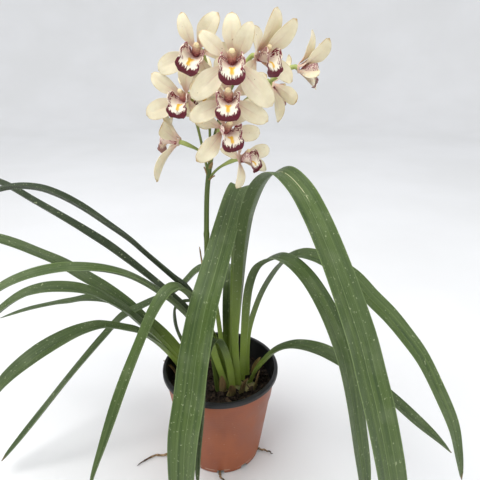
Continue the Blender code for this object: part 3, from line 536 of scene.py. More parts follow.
def makePot():
    body = makePiece("pot_two_tone_tub", [turnedShell(potProfile(), pot["sides"])], makePotFinish(),
                     "terracotta_plastic", "pot")
    turns = (np.arange(pot["holes"]) + 0.5) * 2 * math.pi / pot["holes"]
    out, reach = pot["baseRadius"] - pot["holeInset"], pot["holeDepth"] / 2
    drills = [tubeShell([(out * math.cos(t), out * math.sin(t), z) for z in (-reach, reach)],
                        [pot["holeRadius"]] * 2, pot["holeSides"]) for t in turns]
    cutter = makePiece("drainage_drills", drills, body.data.materials[0], None)
    cut = body.modifiers.new("drainageHoles", "BOOLEAN")
    cut.object, cut.operation, cut.solver = cutter, "DIFFERENCE", "EXACT"
    shaped = bpy.data.meshes.new_from_object(body.evaluated_get(bpy.context.evaluated_depsgraph_get()))
    body.modifiers.clear()
    body.data = shaped
    bpy.data.objects.remove(cutter)
    shaped.shade_smooth()
    shaped.set_sharp_from_angle(angle=math.radians(pot["sharpFrom"]))


mix = dict(top=0.1120, crown=0.0020, foot=0.010, inset=0.0004, gap=0.0003, shoulder=0.096, sides=90, rings=24,
           lump=0.0009, lumpsAbove=0.109, lumpsWithin=0.064, chips=520, chipSize=(0.0016, 0.0052),
           chipsWithin=0.062, chipRough=0.28, paleShare=0.12)


def makeMix():
    # a plug that fills the pot, its top crowned and lumped by crossing waves, with bark chips on it: flattened
    # pebbles with uneven corners, each turned at random
    def inside(height):
        return wallRadius(height) - pot["wall"] - mix["gap"] - mix["inset"]
    under = pot["wall"] + mix["gap"]
    profile = [(0, under), (inside(0) - mix["foot"], under), (inside(mix["foot"]) - 0.0008, mix["foot"]),
               (inside(mix["shoulder"]), mix["shoulder"])]
    profile += [(inside(mix["top"]) * share, mix["top"] - mix["crown"] * share**2)
                for share in np.linspace(1, 0, mix["rings"])]
    plug = turnedShell(profile, mix["sides"])
    x, y, z = plug["points"].T
    waves = np.sin(x * 610 + 2 * np.sin(y * 390)) * np.cos(y * 540) + 0.6 * np.sin(x * 1500 + y * 1300)
    z += np.where((z > mix["lumpsAbove"]) & (np.hypot(x, y) < mix["lumpsWithin"]), mix["lump"] * waves, 0)
    shape, faces = pebbleShell(3, 6)
    count = mix["chips"]
    small, large = mix["chipSize"]
    size = small + (large - small) * random.random((count, 1, 1)) ** 2
    flat = np.stack([1 + 0.7 * random.random(count), 0.6 + 0.4 * random.random(count),
                     0.25 + 0.3 * random.random(count)], axis=1)[:, None]
    rough = 1 + mix["chipRough"] * random.standard_normal((count, len(shape), 1)).clip(-1.5, 1.5)
    frames = np.linalg.qr(random.standard_normal((count, 3, 3)))[0]
    away = mix["chipsWithin"] * np.sqrt(random.random(count))
    around = 2 * math.pi * random.random(count)
    middle = np.stack([away * np.cos(around), away * np.sin(around),
                       mix["top"] - 0.0012 + 0.0026 * random.random(count)], axis=1)[:, None]
    corners = middle + np.einsum("nij,nkj->nki", frames, shape * rough * flat * size)
    pale = np.where(random.random(count) < mix["paleShare"], 0.3 + 0.6 * random.random(count), 0.05)
    points = corners.reshape(-1, 3)
    chipFaces = [[corner + chip * len(shape) for corner in face] for chip in range(count) for face in faces]
    chips = shellOf(points, chipFaces, points[:, :2] * 5 + 0.5, under=np.repeat(pale, len(shape)))
    makePiece("bark_mix", [plug, chips], makeCloudFinish("pottingBark"), "potting_mix", "potting_mix")


bulbs = {
    "pseudobulb_centre": dict(centre=(0.0235, -0.0125, 0.1085), halfAxes=(0.026, 0.013, 0.008), turn=8),
    "pseudobulb_left": dict(centre=(-0.0450, 0.0160, 0.1078), halfAxes=(0.017, 0.014, 0.008), turn=60),
}


bulbShape = dict(rows=22, sides=40, ribs=11, ribDepth=0.025)


def makeBulbs():
    # egg shapes turned about the upright axis, swollen and pinched by a sine wave round it
    finish = makeCloudFinish("bulbGreen")
    for name, bulb in bulbs.items():
        turn = math.radians(bulb["turn"])
        a, b, c = bulb["halfAxes"]
        cos, sin = math.cos(turn), math.sin(turn)
        axes = [[a * cos, -b * sin, 0], [a * sin, b * cos, 0], [0, 0, c]]
        shell = blob(bulb["centre"], axes, rows=bulbShape["rows"], sides=bulbShape["sides"])
        arm = shell["points"] - bulb["centre"]
        ribs = 1 + bulbShape["ribDepth"] * np.sin(bulbShape["ribs"] * np.arctan2(arm[:, 1], arm[:, 0]))
        shell["points"] = bulb["centre"] + arm * ribs[:, None]
        makePiece(name + "_ribbed", [shell], finish, "bulb_green", name)


# root: where a leaf starts. heading: the way it arches, in degrees. spine: how far out and how high its midrib
# passes, in millimetres. fold: how far its halves are folded up, at the foot and on the arch. roll: its turn
# about the midrib, at the foot and at the tip. shade: how far painted shadow darkens the whole blade. scar: 1
# where it has a scratch

leafShape = dict(stations=90, columns=13, footOpen=-14, bendPace=0.06, footWidth=0.0150,
                 fullAt=0.55, foldOpenAt=0.45,
                 taperFrom=0.62, taperPower=2.2, thickness=0.0011, edge=0.0004, bulge=0.055, wave=0.0007)
leafFoot = 117.2
leaves = {
    "leaf_01": dict(root=(0.0105, -0.0090), heading=195, width=0.020, fold=(62, 30), roll=(0, 10),
        shade=0.75, spine=[
        (0, leafFoot), (16, 185), (43, 253), (63, 278), (90, 310), (107, 330), (128, 350), (150, 370),
        (172, 386), (192, 395), (216, 397), (245, 388), (280, 362), (305, 332)]),
    "leaf_02": dict(root=(0.0125, -0.0030), heading=176, width=0.019, fold=(62, 30), roll=(0, 5), shade=0.75,
        spine=[
        (0, leafFoot), (20, 165), (50, 214), (74, 241), (94, 260), (119, 282), (144, 303), (171, 322),
        (198, 340), (225, 357), (256, 376), (290, 386), (325, 378)]),
    "leaf_03": dict(root=(-0.0480, 0.0205), heading=172, width=0.026, fold=(55, 25), roll=(0, 0), shade=0.15,
        spine=[
        (0, leafFoot), (13, 140), (40, 174), (67, 203), (84, 217), (105, 231), (131, 246), (160, 263),
        (190, 275), (220, 286), (250, 293), (285, 293), (320, 283)]),
    "leaf_04": dict(root=(0.0036, -0.0119), heading=205, width=0.024, fold=(60, 25), roll=(0, 0), shade=0.0,
        spine=[
        (0, leafFoot), (14, 165), (36, 217), (57, 249), (74, 268), (90, 284), (108, 298), (130, 309),
        (155, 316), (180, 319), (205, 317), (228, 310), (255, 293), (280, 268)]),
    "leaf_05": dict(root=(-0.0475, 0.0128), heading=197, width=0.026, fold=(55, 25), roll=(0, 0), shade=0.10,
        spine=[
        (0, leafFoot), (16, 145), (36, 178), (55, 203), (70, 223), (87, 239), (103, 252), (121, 261),
        (142, 266), (160, 267), (180, 263), (200, 252), (220, 235), (242, 208)]),
    "leaf_06": dict(root=(-0.0440, 0.0265), heading=164, width=0.018, fold=(55, 20), roll=(0, 0), shade=0.15,
        spine=[
        (0, leafFoot), (30, 155), (70, 185), (110, 198), (146, 197), (175, 188), (207, 178), (255, 160),
        (309, 136)]),
    "leaf_07": dict(root=(0.0073, -0.0222), heading=225, width=0.020, fold=(60, 35), roll=(0, 0), shade=0.0,
        spine=[
        (0, leafFoot), (18, 175), (32, 226), (46, 264), (58, 283), (68, 290), (77, 290), (86, 285),
        (95, 276), (104, 264), (126, 229), (141, 204), (156, 176), (171, 147), (187, 117), (193, 102)]),
    "leaf_08": dict(root=(-0.0500, 0.0065), heading=215, width=0.030, fullAt=0.75, fold=(55, 20),
        roll=(0, 0), shade=0.10, spine=[
        (0, leafFoot), (14, 148), (34, 180), (54, 203), (70, 214), (85, 223), (100, 230), (116, 232),
        (133, 231), (155, 226), (175, 219), (197, 208), (215, 194), (240, 165)]),
    "leaf_09": dict(root=(0.0040, 0.0100), heading=192, width=0.021, sway=-0.028, fullAt=0.50,
        taperFrom=0.80, fold=(55, 25), roll=(0, 0), shade=0.15, spine=[
        (0, leafFoot), (4, 185), (10, 238), (18, 262), (30, 259), (48, 240), (69, 226), (86, 220),
        (100, 214), (122, 204), (133, 195), (146, 181), (169, 157), (205, 119), (242, 78), (271, 47),
        (296, 22)]),
    "leaf_10": dict(root=(-0.0400, 0.0370), heading=180, width=0.010, fold=(45, 30), roll=(0, 0), shade=0.2,
        spine=[
        (0, leafFoot), (13, 143), (22, 174), (21, 199), (12, 210), (-4, 211), (-24, 203)]),
    "leaf_11": dict(root=(0.0150, -0.0103), heading=-112, width=0.0395, fullAt=0.76, taperFrom=0.82,
        fold=(60, 20), roll=(0, 6), shade=0.0, spine=[
        (0, leafFoot), (-6, 190), (-16, 260), (-28, 325), (-36, 358), (-33, 373), (-17, 366), (7, 342),
        (32, 314), (51, 293), (70, 272), (86, 245), (100, 215), (112, 180), (129, 141), (138, 95), (143, 60),
        (145, 30)]),
    "leaf_12": dict(root=(0.0140, -0.0255), heading=-118, width=0.016, fold=(55, 40), roll=(0, 10),
        shade=0.3, spine=[
        (0, leafFoot), (8, 160), (20, 195), (34, 214), (47, 214), (57, 196), (65, 165), (72, 122), (79, 75),
        (83, 39)]),
    "leaf_13": dict(root=(0.0250, -0.0158), heading=-52, width=0.0385, fullAt=0.68, taperFrom=0.82,
        fold=(62, 14), roll=(0, 4), shade=0.0, scar=1, spine=[
        (0, leafFoot), (-6, 175), (-4, 213), (0, 257), (4, 300), (11, 342), (18, 364), (31, 390), (48, 407),
        (66, 413), (89, 403), (108, 385), (127, 361), (149, 328), (174, 286), (190, 251), (206, 214),
        (226, 158), (238, 110), (246, 65), (250, 35)]),
    "leaf_14": dict(root=(0.0295, -0.0060), heading=-40, width=0.034, fullAt=0.68, taperFrom=0.80,
        fold=(58, 18), roll=(0, 0), shade=0.0, spine=[
        (0, leafFoot), (5, 196), (10, 252), (22, 288), (41, 306), (56, 310), (72, 306), (91, 293),
        (111, 270), (128, 243), (141, 215), (152, 179), (165, 125), (176, 80), (184, 40)]),
    "leaf_15": dict(root=(0.0358, 0.0045), heading=-30, width=0.026, fold=(58, 20), roll=(0, 20), shade=0.0,
        spine=[
        (0, leafFoot), (0, 164), (4, 196), (15, 236), (28, 267), (45, 295), (64, 308), (82, 310), (100, 306),
        (126, 295), (148, 277), (168, 262), (186, 245), (207, 222), (228, 189), (249, 151), (261, 115),
        (270, 83)]),
    "leaf_16": dict(root=(0.0390, -0.0110), heading=-20, width=0.027, fold=(50, 20), roll=(0, 0), shade=0.1,
        spine=[
        (0, leafFoot), (6, 135), (17, 154), (32, 174), (50, 186), (67, 190), (86, 189), (103, 184),
        (125, 174), (150, 159), (178, 139), (203, 120), (229, 101), (248, 85)]),
    "leaf_17": dict(root=(0.0105, 0.0125), heading=84, width=0.016, fold=(55, 30), roll=(0, 0), shade=0.2,
        spine=[
        (0, leafFoot), (-3, 165), (-2, 205), (6, 236), (20, 251), (40, 253), (65, 243), (95, 217), (120, 180)]),
}


def leafGrid(leaf, phase):
    # midribs run in an upright plane; across it goes a V with a rounded keel and slightly arched halves, which
    # opens towards the arch; the width swells from the foot and narrows to a point
    s = leafShape
    heading = math.radians(leaf["heading"])
    plane = smoothPath(np.array(leaf["spine"]) / 1000, s["stations"], s["bendPace"])
    out = np.array([math.cos(heading), math.sin(heading), 0])
    level = np.array([-math.sin(heading), math.cos(heading), 0])
    path = np.array([*leaf["root"], 0]) + plane[:, :1] * out + plane[:, 1:] * np.array([0, 0, 1])
    share = np.concatenate([[0], np.cumsum(np.linalg.norm(np.diff(plane, axis=0), axis=1))])
    share /= share[-1]
    path = path + leaf.get("sway", 0) * np.sin(math.pi * share)[:, None] * level
    upper = np.cross(directions(path), level)
    roll = np.radians(np.interp(share, (0, 1), leaf["roll"]) + 2.5 * np.sin(5 * share + phase))[:, None]
    side = level * np.cos(roll) + upper * np.sin(roll)
    upper = upper * np.cos(roll) - level * np.sin(roll)
    swell = s["footWidth"] + (leaf["width"] - s["footWidth"]) * eased(share / leaf.get("fullAt", s["fullAt"]))
    taperFrom = leaf.get("taperFrom", s["taperFrom"])
    narrowing = np.clip((share - taperFrom) / (1.0 - taperFrom), 0, 1)
    half = (swell * np.sqrt(1.0004 - narrowing ** s["taperPower"]) / 2)[:, None, None]
    footFold, archFold = leaf["fold"]
    fold = footFold + s["footOpen"] + (archFold - footFold - s["footOpen"]) * eased(share / s["foldOpenAt"])
    fold = np.radians(fold)[:, None, None]
    v = np.linspace(-1, 1, s["columns"])[None, :, None]
    v = np.sign(v) * np.abs(v) ** 1.25
    lift = np.sqrt(v**2 + 0.004) - 0.5 + s["bulge"] * np.sin(math.pi * np.abs(v))
    ripple = s["wave"] * np.sin(17 * share + phase)[:, None, None] * v**3 * eased(share / 0.3)[:, None, None]
    outwards, upwards = half * v * np.cos(fold), half * lift * np.sin(fold) + ripple
    grid = path[:, None] + outwards * side[:, None] + upwards * upper[:, None]
    return grid, s["edge"] + (s["thickness"] - s["edge"]) * (1 - v[..., 0] ** 2)


def makeLeaves():
    finish = makeLeafFinish()
    for number, (name, leaf) in enumerate(leaves.items()):
        shell = sheetShell(*leafGrid(leaf, 1.7 * number), tone=number / len(leaves), face=-1)
        # each leaf's painted-shadow amount and its scratch mark go on every point of its blade
        for title in ("shade", "scar"):
            shell[title] = np.full(len(shell["points"]), float(leaf.get(title, 0)))
        makePiece(name + "_blade", [shell], finish, "leaf_green", name,
                  marks=("under", "tone", "shade", "scar"))


stem = dict(radii=(0.0037, 0.0022), joints=(0.30, 0.38, 0.56), jointSwell=0.0006, stalkRadius=0.00135,
            caseSwell=0.75, lead=0.009, rise=0.003, bractLength=0.009, bractHalf=0.0024, bractThick=0.0004,
            axis=[
    (-0.0025, -0.0215, 0.1125), (-0.0057, -0.0247, 0.150), (-0.0093, -0.0278, 0.200), (-0.0115, -0.0272, 0.250),
    (-0.0115, -0.0240, 0.305), (-0.0110, -0.0240, 0.340), (-0.0090, -0.0290, 0.380), (-0.0050, -0.0350, 0.410),
    (0.0000, -0.0390, 0.435), (0.0095, -0.0350, 0.468), (0.0200, -0.0290, 0.496)])

# centre: the throat. facing: heading and rise in degrees. roll: clockwise turn. stalk: where on the stem its
# stalk starts. tepals: turn from upright, lean forward (degrees) and length in millimetres
flowers = {
    "a": dict(centre=(0.019, -0.074, 0.512), facing=(-90, 4), roll=0, size=1.00, stalk=0.95, tepals=[
        (0, 10, 37), (30, 35, 38), (137, 5, 51), (-131, 5, 47), (-51, 10, 35)]),
    "b": dict(centre=(-0.012, -0.055, 0.518), facing=(-110, 0), lipFacing=(-99, 0), roll=25, size=0.96,
        stalk=0.90, tepals=[(13, 16, 40), (62, -12, 36), (128, -12, 36), (-137, 6, 42), (-45, 12, 34)]),
    "c": dict(centre=(0.042, -0.038, 0.514), facing=(-42, 6), roll=4, size=0.98, stalk=0.93, tepals=[
        (10, 27, 44), (34, 42, 46), (125, 25, 42), (-128, 3, 37), (-60, 30, 43)]),
    "d": dict(centre=(0.083, -0.014, 0.502), facing=(-10, 0), roll=0, size=0.90, stalk=0.88, tepals=[
        (18, 20, 38, 20), (40, 35, 34), (126, 30, 38), (-105, 52, 27, 60), (-22, 46, 40, 70)]),
    "e": dict(centre=(-0.025, -0.044, 0.478), facing=(-110, 4), roll=3, size=0.92, stalk=0.74, tepals=[
        (0, -6, 38), (52, -12, 34), (140, -12, 36), (-117, 13, 43), (-60, 15, 38)]),
    "f": dict(centre=(0.016, -0.070, 0.481), facing=(-92, 4), roll=0, size=0.98, stalk=0.86, tepals=[
        (-14, -4, 36), (60, 5, 38), (120, 5, 40), (-118, 8, 40), (-60, 2, 36)]),
    "g": dict(centre=(-0.006, -0.029, 0.481), facing=(-98, 4), roll=0, size=0.85, stalk=0.78, tepals=[
        (-6, -8, 34), (62, -22, 32), (122, -22, 34), (-130, -8, 34), (-62, -8, 34)]),
    "h": dict(centre=(0.011, -0.062, 0.452), facing=(-65, 4), roll=0, size=0.96, stalk=0.76, tepals=[
        (-20, -4, 34), (50, 0, 38), (100, 5, 37), (-129, 13, 41), (-62, -9, 34)]),
    "i": dict(centre=(0.026, -0.056, 0.423), facing=(-32, 18), roll=0, size=0.80, stalk=0.73, tepals=[
        (20, -10, 32), (88, 31, 34), (130, 28, 30), (-142, 4, 31), (-62, 2, 30)]),
    "j": dict(centre=(-0.034, -0.044, 0.437), facing=(160, 14), roll=0, size=0.80, stalk=0.78, tepals=[
        (0, 40, 32), (57, 12, 36), (146, 8, 45), (-130, 35, 36), (-55, 42, 32)]),
    "k": dict(centre=(0.058, -0.004, 0.485), facing=(20, -25), roll=0, size=0.85, stalk=0.84, tepals=[
        (0, 10, 34), (60, 10, 34), (125, 10, 34), (-149, 25, 38), (-101, 30, 36)]),
}


def flowerAxes(flower, key="facing"):
    # columns: to the viewer's right, up, and out of the flower's face, then rolled clockwise
    heading, rise = np.radians(flower.get(key, flower["facing"]))
    out = np.array([math.cos(rise) * math.cos(heading), math.cos(rise) * math.sin(heading), math.sin(rise)])
    right = unit(np.cross([0, 0, 1], out))
    up = np.cross(out, right)
    roll = -math.radians(flower["roll"])
    cos, sin = math.cos(roll), math.sin(roll)
    return np.stack([right * cos + up * sin, up * cos - right * sin, out], axis=1)


def placed(shell, flower, key="facing"):
    shell["points"] = np.array(flower["centre"]) + shell["points"] @ flowerAxes(flower, key).T
    return shell


def makeStem():
    # a tube along the axis that narrows upwards, a curved tube for each flower's stalk, and a small bract, half
    # an oval, under each; the bracts go to the dry pieces
    dense = smoothPath(stem["axis"], 201)
    axis = smoothPath(stem["axis"], 120)
    share = np.linspace(0, 1, 120)
    radii = np.interp(share, (0, 1), stem["radii"])
    for joint in stem["joints"]:  # each sheath springs from a slightly swollen joint
        radii = radii + stem["jointSwell"] * np.exp(-((share - joint) / 0.008) ** 2)
    shells = [tubeShell(axis, radii, 20, tone=0.1)]
    bracts = []
    for number, flower in enumerate(flowers.values()):
        axes = flowerAxes(flower)
        back = np.array(flower["centre"]) - axes[:, 2] * 0.0006
        behind = np.array(flower["centre"]) - axes[:, 2] * stem["lead"]
        start = dense[round(flower["stalk"] * 200)]
        climb = start + (behind - start) * 0.45 + np.array([0, 0, stem["rise"]])
        line = smoothPath([start, climb, behind, back], 28)
        along = np.linspace(0, 1, 28)
        # the seed case behind the flower
        swell = stem["stalkRadius"] * (1 + stem["caseSwell"] * eased((along - 0.45) / 0.4))
        stalk = tubeShell(line, swell, 12, tone=0.2 + number / 20)
        stalk["under"] = np.append(np.repeat(0.35 + 0.65 * eased((along - 0.3) / 0.6), 12), (0.35, 1.0))
        shells.append(stalk)
        away = unit((climb - start)[None])[0]
        v = np.linspace(-1, 1, 7)[None, :, None]
        r = np.linspace(0, 1, 9)[:, None, None]
        across = unit(np.cross(away, [0, 0, 1])[None])[0]
        lower = np.cross(across, away)
        bract = (start + away * (0.001 + stem["bractLength"] * r) - lower * (0.0021 + 0.001 * r**2)
                 + across * stem["bractHalf"] * v * np.sqrt(1.001 - r**2) + lower * 0.0012 * v**2)
        bracts.append(sheetShell(bract, stem["bractThick"], tone=number / 9))
    makePiece("flower_stem_and_stalks", shells, makeStemFinish(), "stem_green", "flower_stem")
    return bracts


sheaths = {
    "stem_sheath_lower": dict(start=0.30, end=0.37, wrap=100, facing=200),
    "stem_sheath_upper": dict(start=0.38, end=0.52, wrap=80, facing=180),
}
sheathShape = dict(rows=26, columns=15, radius=0.0048, standOff=0.0035, ripple=0.0003, thickness=0.0005)
# dry leaf bases round the fans: foot, heading of the lean, height, half width
baseShape = dict(rows=20, columns=9, foot=0.1105, thickness=0.0005)
dryBases = [
    ((0.0020, -0.0260), -110, 0.034, 0.0060), ((0.0145, -0.0315), -75, 0.026, 0.0060),
    ((0.0290, -0.0270), -50, 0.036, 0.0055), ((0.0470, -0.0150), -15, 0.030, 0.0060),
    ((-0.0030, -0.0130), 190, 0.046, 0.0055), ((0.0060, -0.0005), 160, 0.040, 0.0050),
    ((0.0220, 0.0020), 80, 0.038, 0.0060), ((0.0440, 0.0040), 30, 0.032, 0.0060),
    ((-0.0620, 0.0100), 200, 0.026, 0.0060), ((-0.0540, 0.0300), 140, 0.030, 0.0055),
    ((-0.0350, 0.0220), 20, 0.028, 0.0055), ((-0.0420, -0.0010), -70, 0.024, 0.0060),
]


def makeSheaths(bracts):
    # part of a cylinder round the stem, which narrows to a point and stands off upwards; the dry bases are
    # upright blades that narrow to a round tip, bowed round the fan and leaning out
    finish = makePaperFinish()
    dense = smoothPath(stem["axis"], 201)
    s = sheathShape
    for number, (name, sheath) in enumerate(sheaths.items()):
        first, last = (round(sheath[end] * 200) for end in ("start", "end"))
        line = smoothPath(dense[first:last + 1], s["rows"])
        share = np.linspace(0, 1, s["rows"])[:, None, None]
        v = np.linspace(-1, 1, s["columns"])[None, :, None]
        wrap = math.radians(sheath["wrap"]) * (1 - 0.97 * share**1.5)
        angle = math.radians(sheath["facing"]) + v * wrap + 0.25 * share * np.sin(4 * share)
        radius = s["radius"] + s["standOff"] * share**2 + s["ripple"] * np.sin(9 * v + 14 * share) * share
        grid = line[:, None] + radius * np.concatenate([np.cos(angle), np.sin(angle), 0 * angle], axis=2)
        shell = sheetShell(grid, s["thickness"], tone=number / len(sheaths))
        makePiece(name + "_paper", [shell], finish, "dry_sheath", name)
    rest = list(bracts)
    for number, (foot, heading, height, width) in enumerate(dryBases):
        heading = math.radians(heading)
        out = np.array([math.cos(heading), math.sin(heading), 0])
        side = np.array([-math.sin(heading), math.cos(heading), 0])
        r = np.linspace(0, 1, baseShape["rows"])[:, None, None]
        v = np.linspace(-1, 1, baseShape["columns"])[None, :, None]
        half = width * np.sqrt(1.001 - r**2.6) * (1 - 0.35 * r)
        lean = 0.004 * r + 0.010 * r**2 * (number % 3) / 2 - 0.5 * half * v**2
        grid = (np.array([*foot, baseShape["foot"]]) + out * lean + np.array([0, 0, 1]) * height * r
                + side * (half * v + 0.003 * r * np.sin(3 * r + number)))
        rest.append(sheetShell(grid, baseShape["thickness"], tone=number / 7))
    makePiece("dry_leaf_bases_and_bracts", rest, finish, "dry_sheath")


tepalFeet = [(0, 0.0185), (62, 0.0170), (130, 0.0180), (-130, 0.0180), (-62, 0.0170)]
tepalShape = dict(
    rows=24, columns=13, hub=0.0042, hubArc=34, length=0.042, arch=0.08, cup=0.25, footShare=0.30,
    thickness=0.0009, edge=0.0004, groove=0.0005, tipBend=0.0022, wave=0.0010)


def tepalGrid(tepal, foot, phase):
    # a low arch from the hub to the tip, as wide as an oval with a small point, cupped forward, grooved along
    # its middle, its edges waved and its tip bent back
    s = tepalShape
    turn, lean = (math.radians(value) for value in tepal[:2])
    footTurn, width = math.radians(foot[0]), foot[1]
    outward = np.array([math.sin(turn), math.cos(turn), 0])
    sideways = np.array([math.cos(turn), -math.sin(turn), 0])
    forward = np.array([0, 0, 1])
    share = np.linspace(0, 1, s["rows"])[:, None, None]
    v = np.linspace(-1, 1, s["columns"])[None, :, None]
    length = tepal[2] / 1000
    hubSide = s["hub"] * np.array([math.sin(footTurn), math.cos(footTurn), 0])
    tip = length * (math.cos(lean) * outward + math.sin(lean) * forward)
    arch = -s["arch"] * length * np.sin(math.pi * share)
    normal = math.sin(lean) * outward - math.cos(lean) * forward
    twist = math.radians(tepal[3] if len(tepal) > 3 else 0) * eased(share / 0.5)
    across = sideways * np.cos(twist) - normal * np.sin(twist)
    cupped = -normal * np.cos(twist) - sideways * np.sin(twist)
    line = hubSide + share * (tip - hubSide) + arch * normal
    line = line + normal * s["tipBend"] * np.clip((share - 0.75) / 0.25, 0, 1) ** 2
    swell = s["footShare"] + (1 - s["footShare"]) * eased(share / 0.55)
    taper = np.sqrt(1.0002 - (np.clip(share - 0.5, 0, 1) / 0.5) ** 2.3)
    half = width / 2 * swell * taper * length / s["length"]
    ripple = s["wave"] * np.sin(8 * share + phase + 1.5 * v) * np.abs(v) ** 3 * share * (1.2 - share)
    groove = -s["groove"] * np.exp(-((v / 0.14) ** 2)) * np.sin(math.pi * np.clip(share * 1.05, 0, 1))
    grid = line + across * half * v + cupped * (s["cup"] * half * v**2 * (1.15 - share) + ripple + groove)
    arc = footTurn + v[0] * math.radians(s["hubArc"] / 2)
    start = s["hub"] * np.concatenate([np.sin(arc), np.cos(arc), 0 * arc], axis=1)
    blendIn = 1 - eased(share / 0.09)
    grid = grid * (1 - blendIn) + (start[None] + share * (tip - hubSide)) * blendIn
    return grid, s["edge"] + (s["thickness"] - s["edge"]) * (1 - v[..., 0] ** 2)


lip = dict(rows=46, columns=41, thickness=0.0008, ridgeApart=0.0015, ridgeWidth=0.0008, ridgeRise=0.0011,
           frill=0.0007, lobeWave=0.0012, line=[
    (0, -0.0032, 0.0016), (0, -0.0048, 0.0060), (0, -0.0060, 0.0110), (0, -0.0082, 0.0160),
    (0, -0.0125, 0.0185), (0, -0.0170, 0.0180), (0, -0.0195, 0.0155)],
    halfWidths=[(0, 0.0035), (0.15, 0.0085), (0.28, 0.0145), (0.38, 0.0188), (0.46, 0.0192), (0.52, 0.0150),
                (0.565, 0.0104), (0.62, 0.0112), (0.68, 0.0117), (0.76, 0.0112), (0.84, 0.0096), (0.92, 0.0072),
                (0.97, 0.0046), (1, 0.0010)],
    curls=[(0, 70), (0.20, 100), (0.36, 113), (0.48, 112), (0.55, 62), (0.62, 30), (0.82, 15), (1, 8)])


def lipShell(size, tone):
    # a trough whose sides stand up beside the column, then a broad lobe bent down, with a frilled edge and two
    # low ridges along the throat
    share = np.linspace(0, 1, lip["rows"])[:, None, None]
    v = np.linspace(-1, 1, lip["columns"])[None, :, None]
    line = smoothPath(lip["line"], lip["rows"])
    upper = np.cross(directions(line), [1.0, 0, 0])
    half = np.interp(share, *zip(*lip["halfWidths"]))
    curl = np.radians(np.interp(share, *zip(*lip["curls"])))
    across = half / curl * np.sin(v * curl)
    lift = half / curl * (1 - np.cos(v * curl))
    apart, width = lip["ridgeApart"], lip["ridgeWidth"]
    ridge = np.exp(-((across - apart) / width) ** 2) + np.exp(-((across + apart) / width) ** 2)
    ridge = lip["ridgeRise"] * ridge
    ridge = ridge * eased((share - 0.34) / 0.1) * eased((0.70 - share) / 0.08)
    frill = lip["frill"] * np.sin(34 * share + 8 * tone) * np.abs(v) ** 4 * eased((share - 0.55) / 0.1)
    lobes = lip["lobeWave"] * np.sin(26 * share + 5 * tone) * np.abs(v) ** 4
    lobes = lobes * eased(share / 0.2) * eased((0.6 - share) / 0.1)
    outwards, upwards = across + lobes * np.sign(v), lift + ridge + frill
    grid = line[:, None] + outwards * np.array([1.0, 0, 0]) + upwards * upper[:, None]
    return sheetShell(grid * size, lip["thickness"] * size, tone, face=-1)


column = dict(rows=18, sides=18, notch=0.0006, spread=1.45, capCentre=(0, 0.0070, 0.0142),
              capAxes=(0.0027, 0.0022, 0.0020), radii=[(0, 0.0022), (0.4, 0.0028), (0.8, 0.0029),
                                                       (0.95, 0.0023), (1, 0.0014)],
              line=[(0, -0.0040, 0.0020), (0, -0.0006, 0.0052), (0, 0.0026, 0.0088), (0, 0.0054, 0.0120),
                    (0, 0.0066, 0.0136)])


def columnShells(size, tone):
    # an arched tube, flatter above than below, that ends in a round cap with a notch in its front
    share = np.linspace(0, 1, column["rows"])
    path = smoothPath(column["line"], column["rows"])
    radii = np.interp(share, *zip(*column["radii"]))
    body = tubeShell(path * size, radii * size, column["sides"], (1, 0, 0), tone, column["spread"])
    body["under"] = np.append(np.repeat(0.6 * share**3, column["sides"]), (0, 0.6))
    cap = blob(np.array(column["capCentre"]) * size, np.diag(column["capAxes"]) * size, tone)
    x = cap["points"][:, 0] / size
    front = np.clip((cap["points"][:, 2] / size - 0.0148) / 0.001, 0, 1)
    cap["points"][:, 2] -= column["notch"] * size * np.exp(-((x / column["notch"]) ** 2)) * front
    cap["under"] = np.ones(len(cap["points"]))
    return [body, cap]


flowerHub = dict(height=-0.0004, axes=(0.0047, 0.0047, 0.0013), sink=0.00025)


def makeFlowers():
    petals, lipStain, rose = makePetalFinish(), makeLipFinish(), makeCloudFinish("columnRose")
    for number, (letter, flower) in enumerate(flowers.items()):
        name = "flower_" + letter
        tone = number / len(flowers)
        hub = blob((0, 0, flowerHub["height"]), np.diag(flowerHub["axes"]), tone)
        hub["uv"] = np.full_like(hub["uv"], 0.3) * np.array([1.0, 0.2])  # coloured as a petal's foot
        shells = [hub]
        for turn, (tepal, foot) in enumerate(zip(flower["tepals"], tepalFeet)):
            grid, thickness = tepalGrid(tepal, foot, 2.1 * turn + 3.3 * number)
            # petals lie in front of sepals
            grid = grid + np.array([0, 0, flowerHub["sink"] * (1 if turn in (1, 4) else -1)])
            shells.append(sheetShell(grid, thickness, tone + turn / 50))
        shells = [placed(shell, flower) for shell in shells]
        makePiece(name + "_sepals_and_petals", shells, petals, "petal_cream", name + "_tepals")
        trough = placed(lipShell(flower["size"], tone), flower, "lipFacing")
        makePiece(name + "_lip_lobes", [trough], lipStain, "lip_burgundy", name + "_lip")
        pieces = [placed(shell, flower, "lipFacing") for shell in columnShells(flower["size"], tone)]
        makePiece(name + "_column_and_cap", pieces, rose, "column_rose", name + "_column")


rootShape = dict(stations=60, sides=14, thin=0.45)
roots = {
    "root_left": dict(radius=0.0019, path=[
        (-0.0460, -0.0150, 0.0026), (-0.0620, -0.0195, 0.0025), (-0.0800, -0.0240, 0.0025),
        (-0.0940, -0.0265, 0.0026), (-0.1030, -0.0330, 0.0025), (-0.1120, -0.0420, 0.0024)]),
    "root_right": dict(radius=0.0016, path=[
        (0.0450, -0.0125, 0.0026), (0.0560, -0.0145, 0.0022), (0.0640, -0.0175, 0.0022),
        (0.0710, -0.0215, 0.0022)]),
    "root_front": dict(radius=0.0016, path=[
        (-0.0010, -0.0475, 0.0024), (-0.0006, -0.0560, 0.0022), (0.0020, -0.0620, 0.0022),
        (0.0080, -0.0660, 0.0022)]),
}


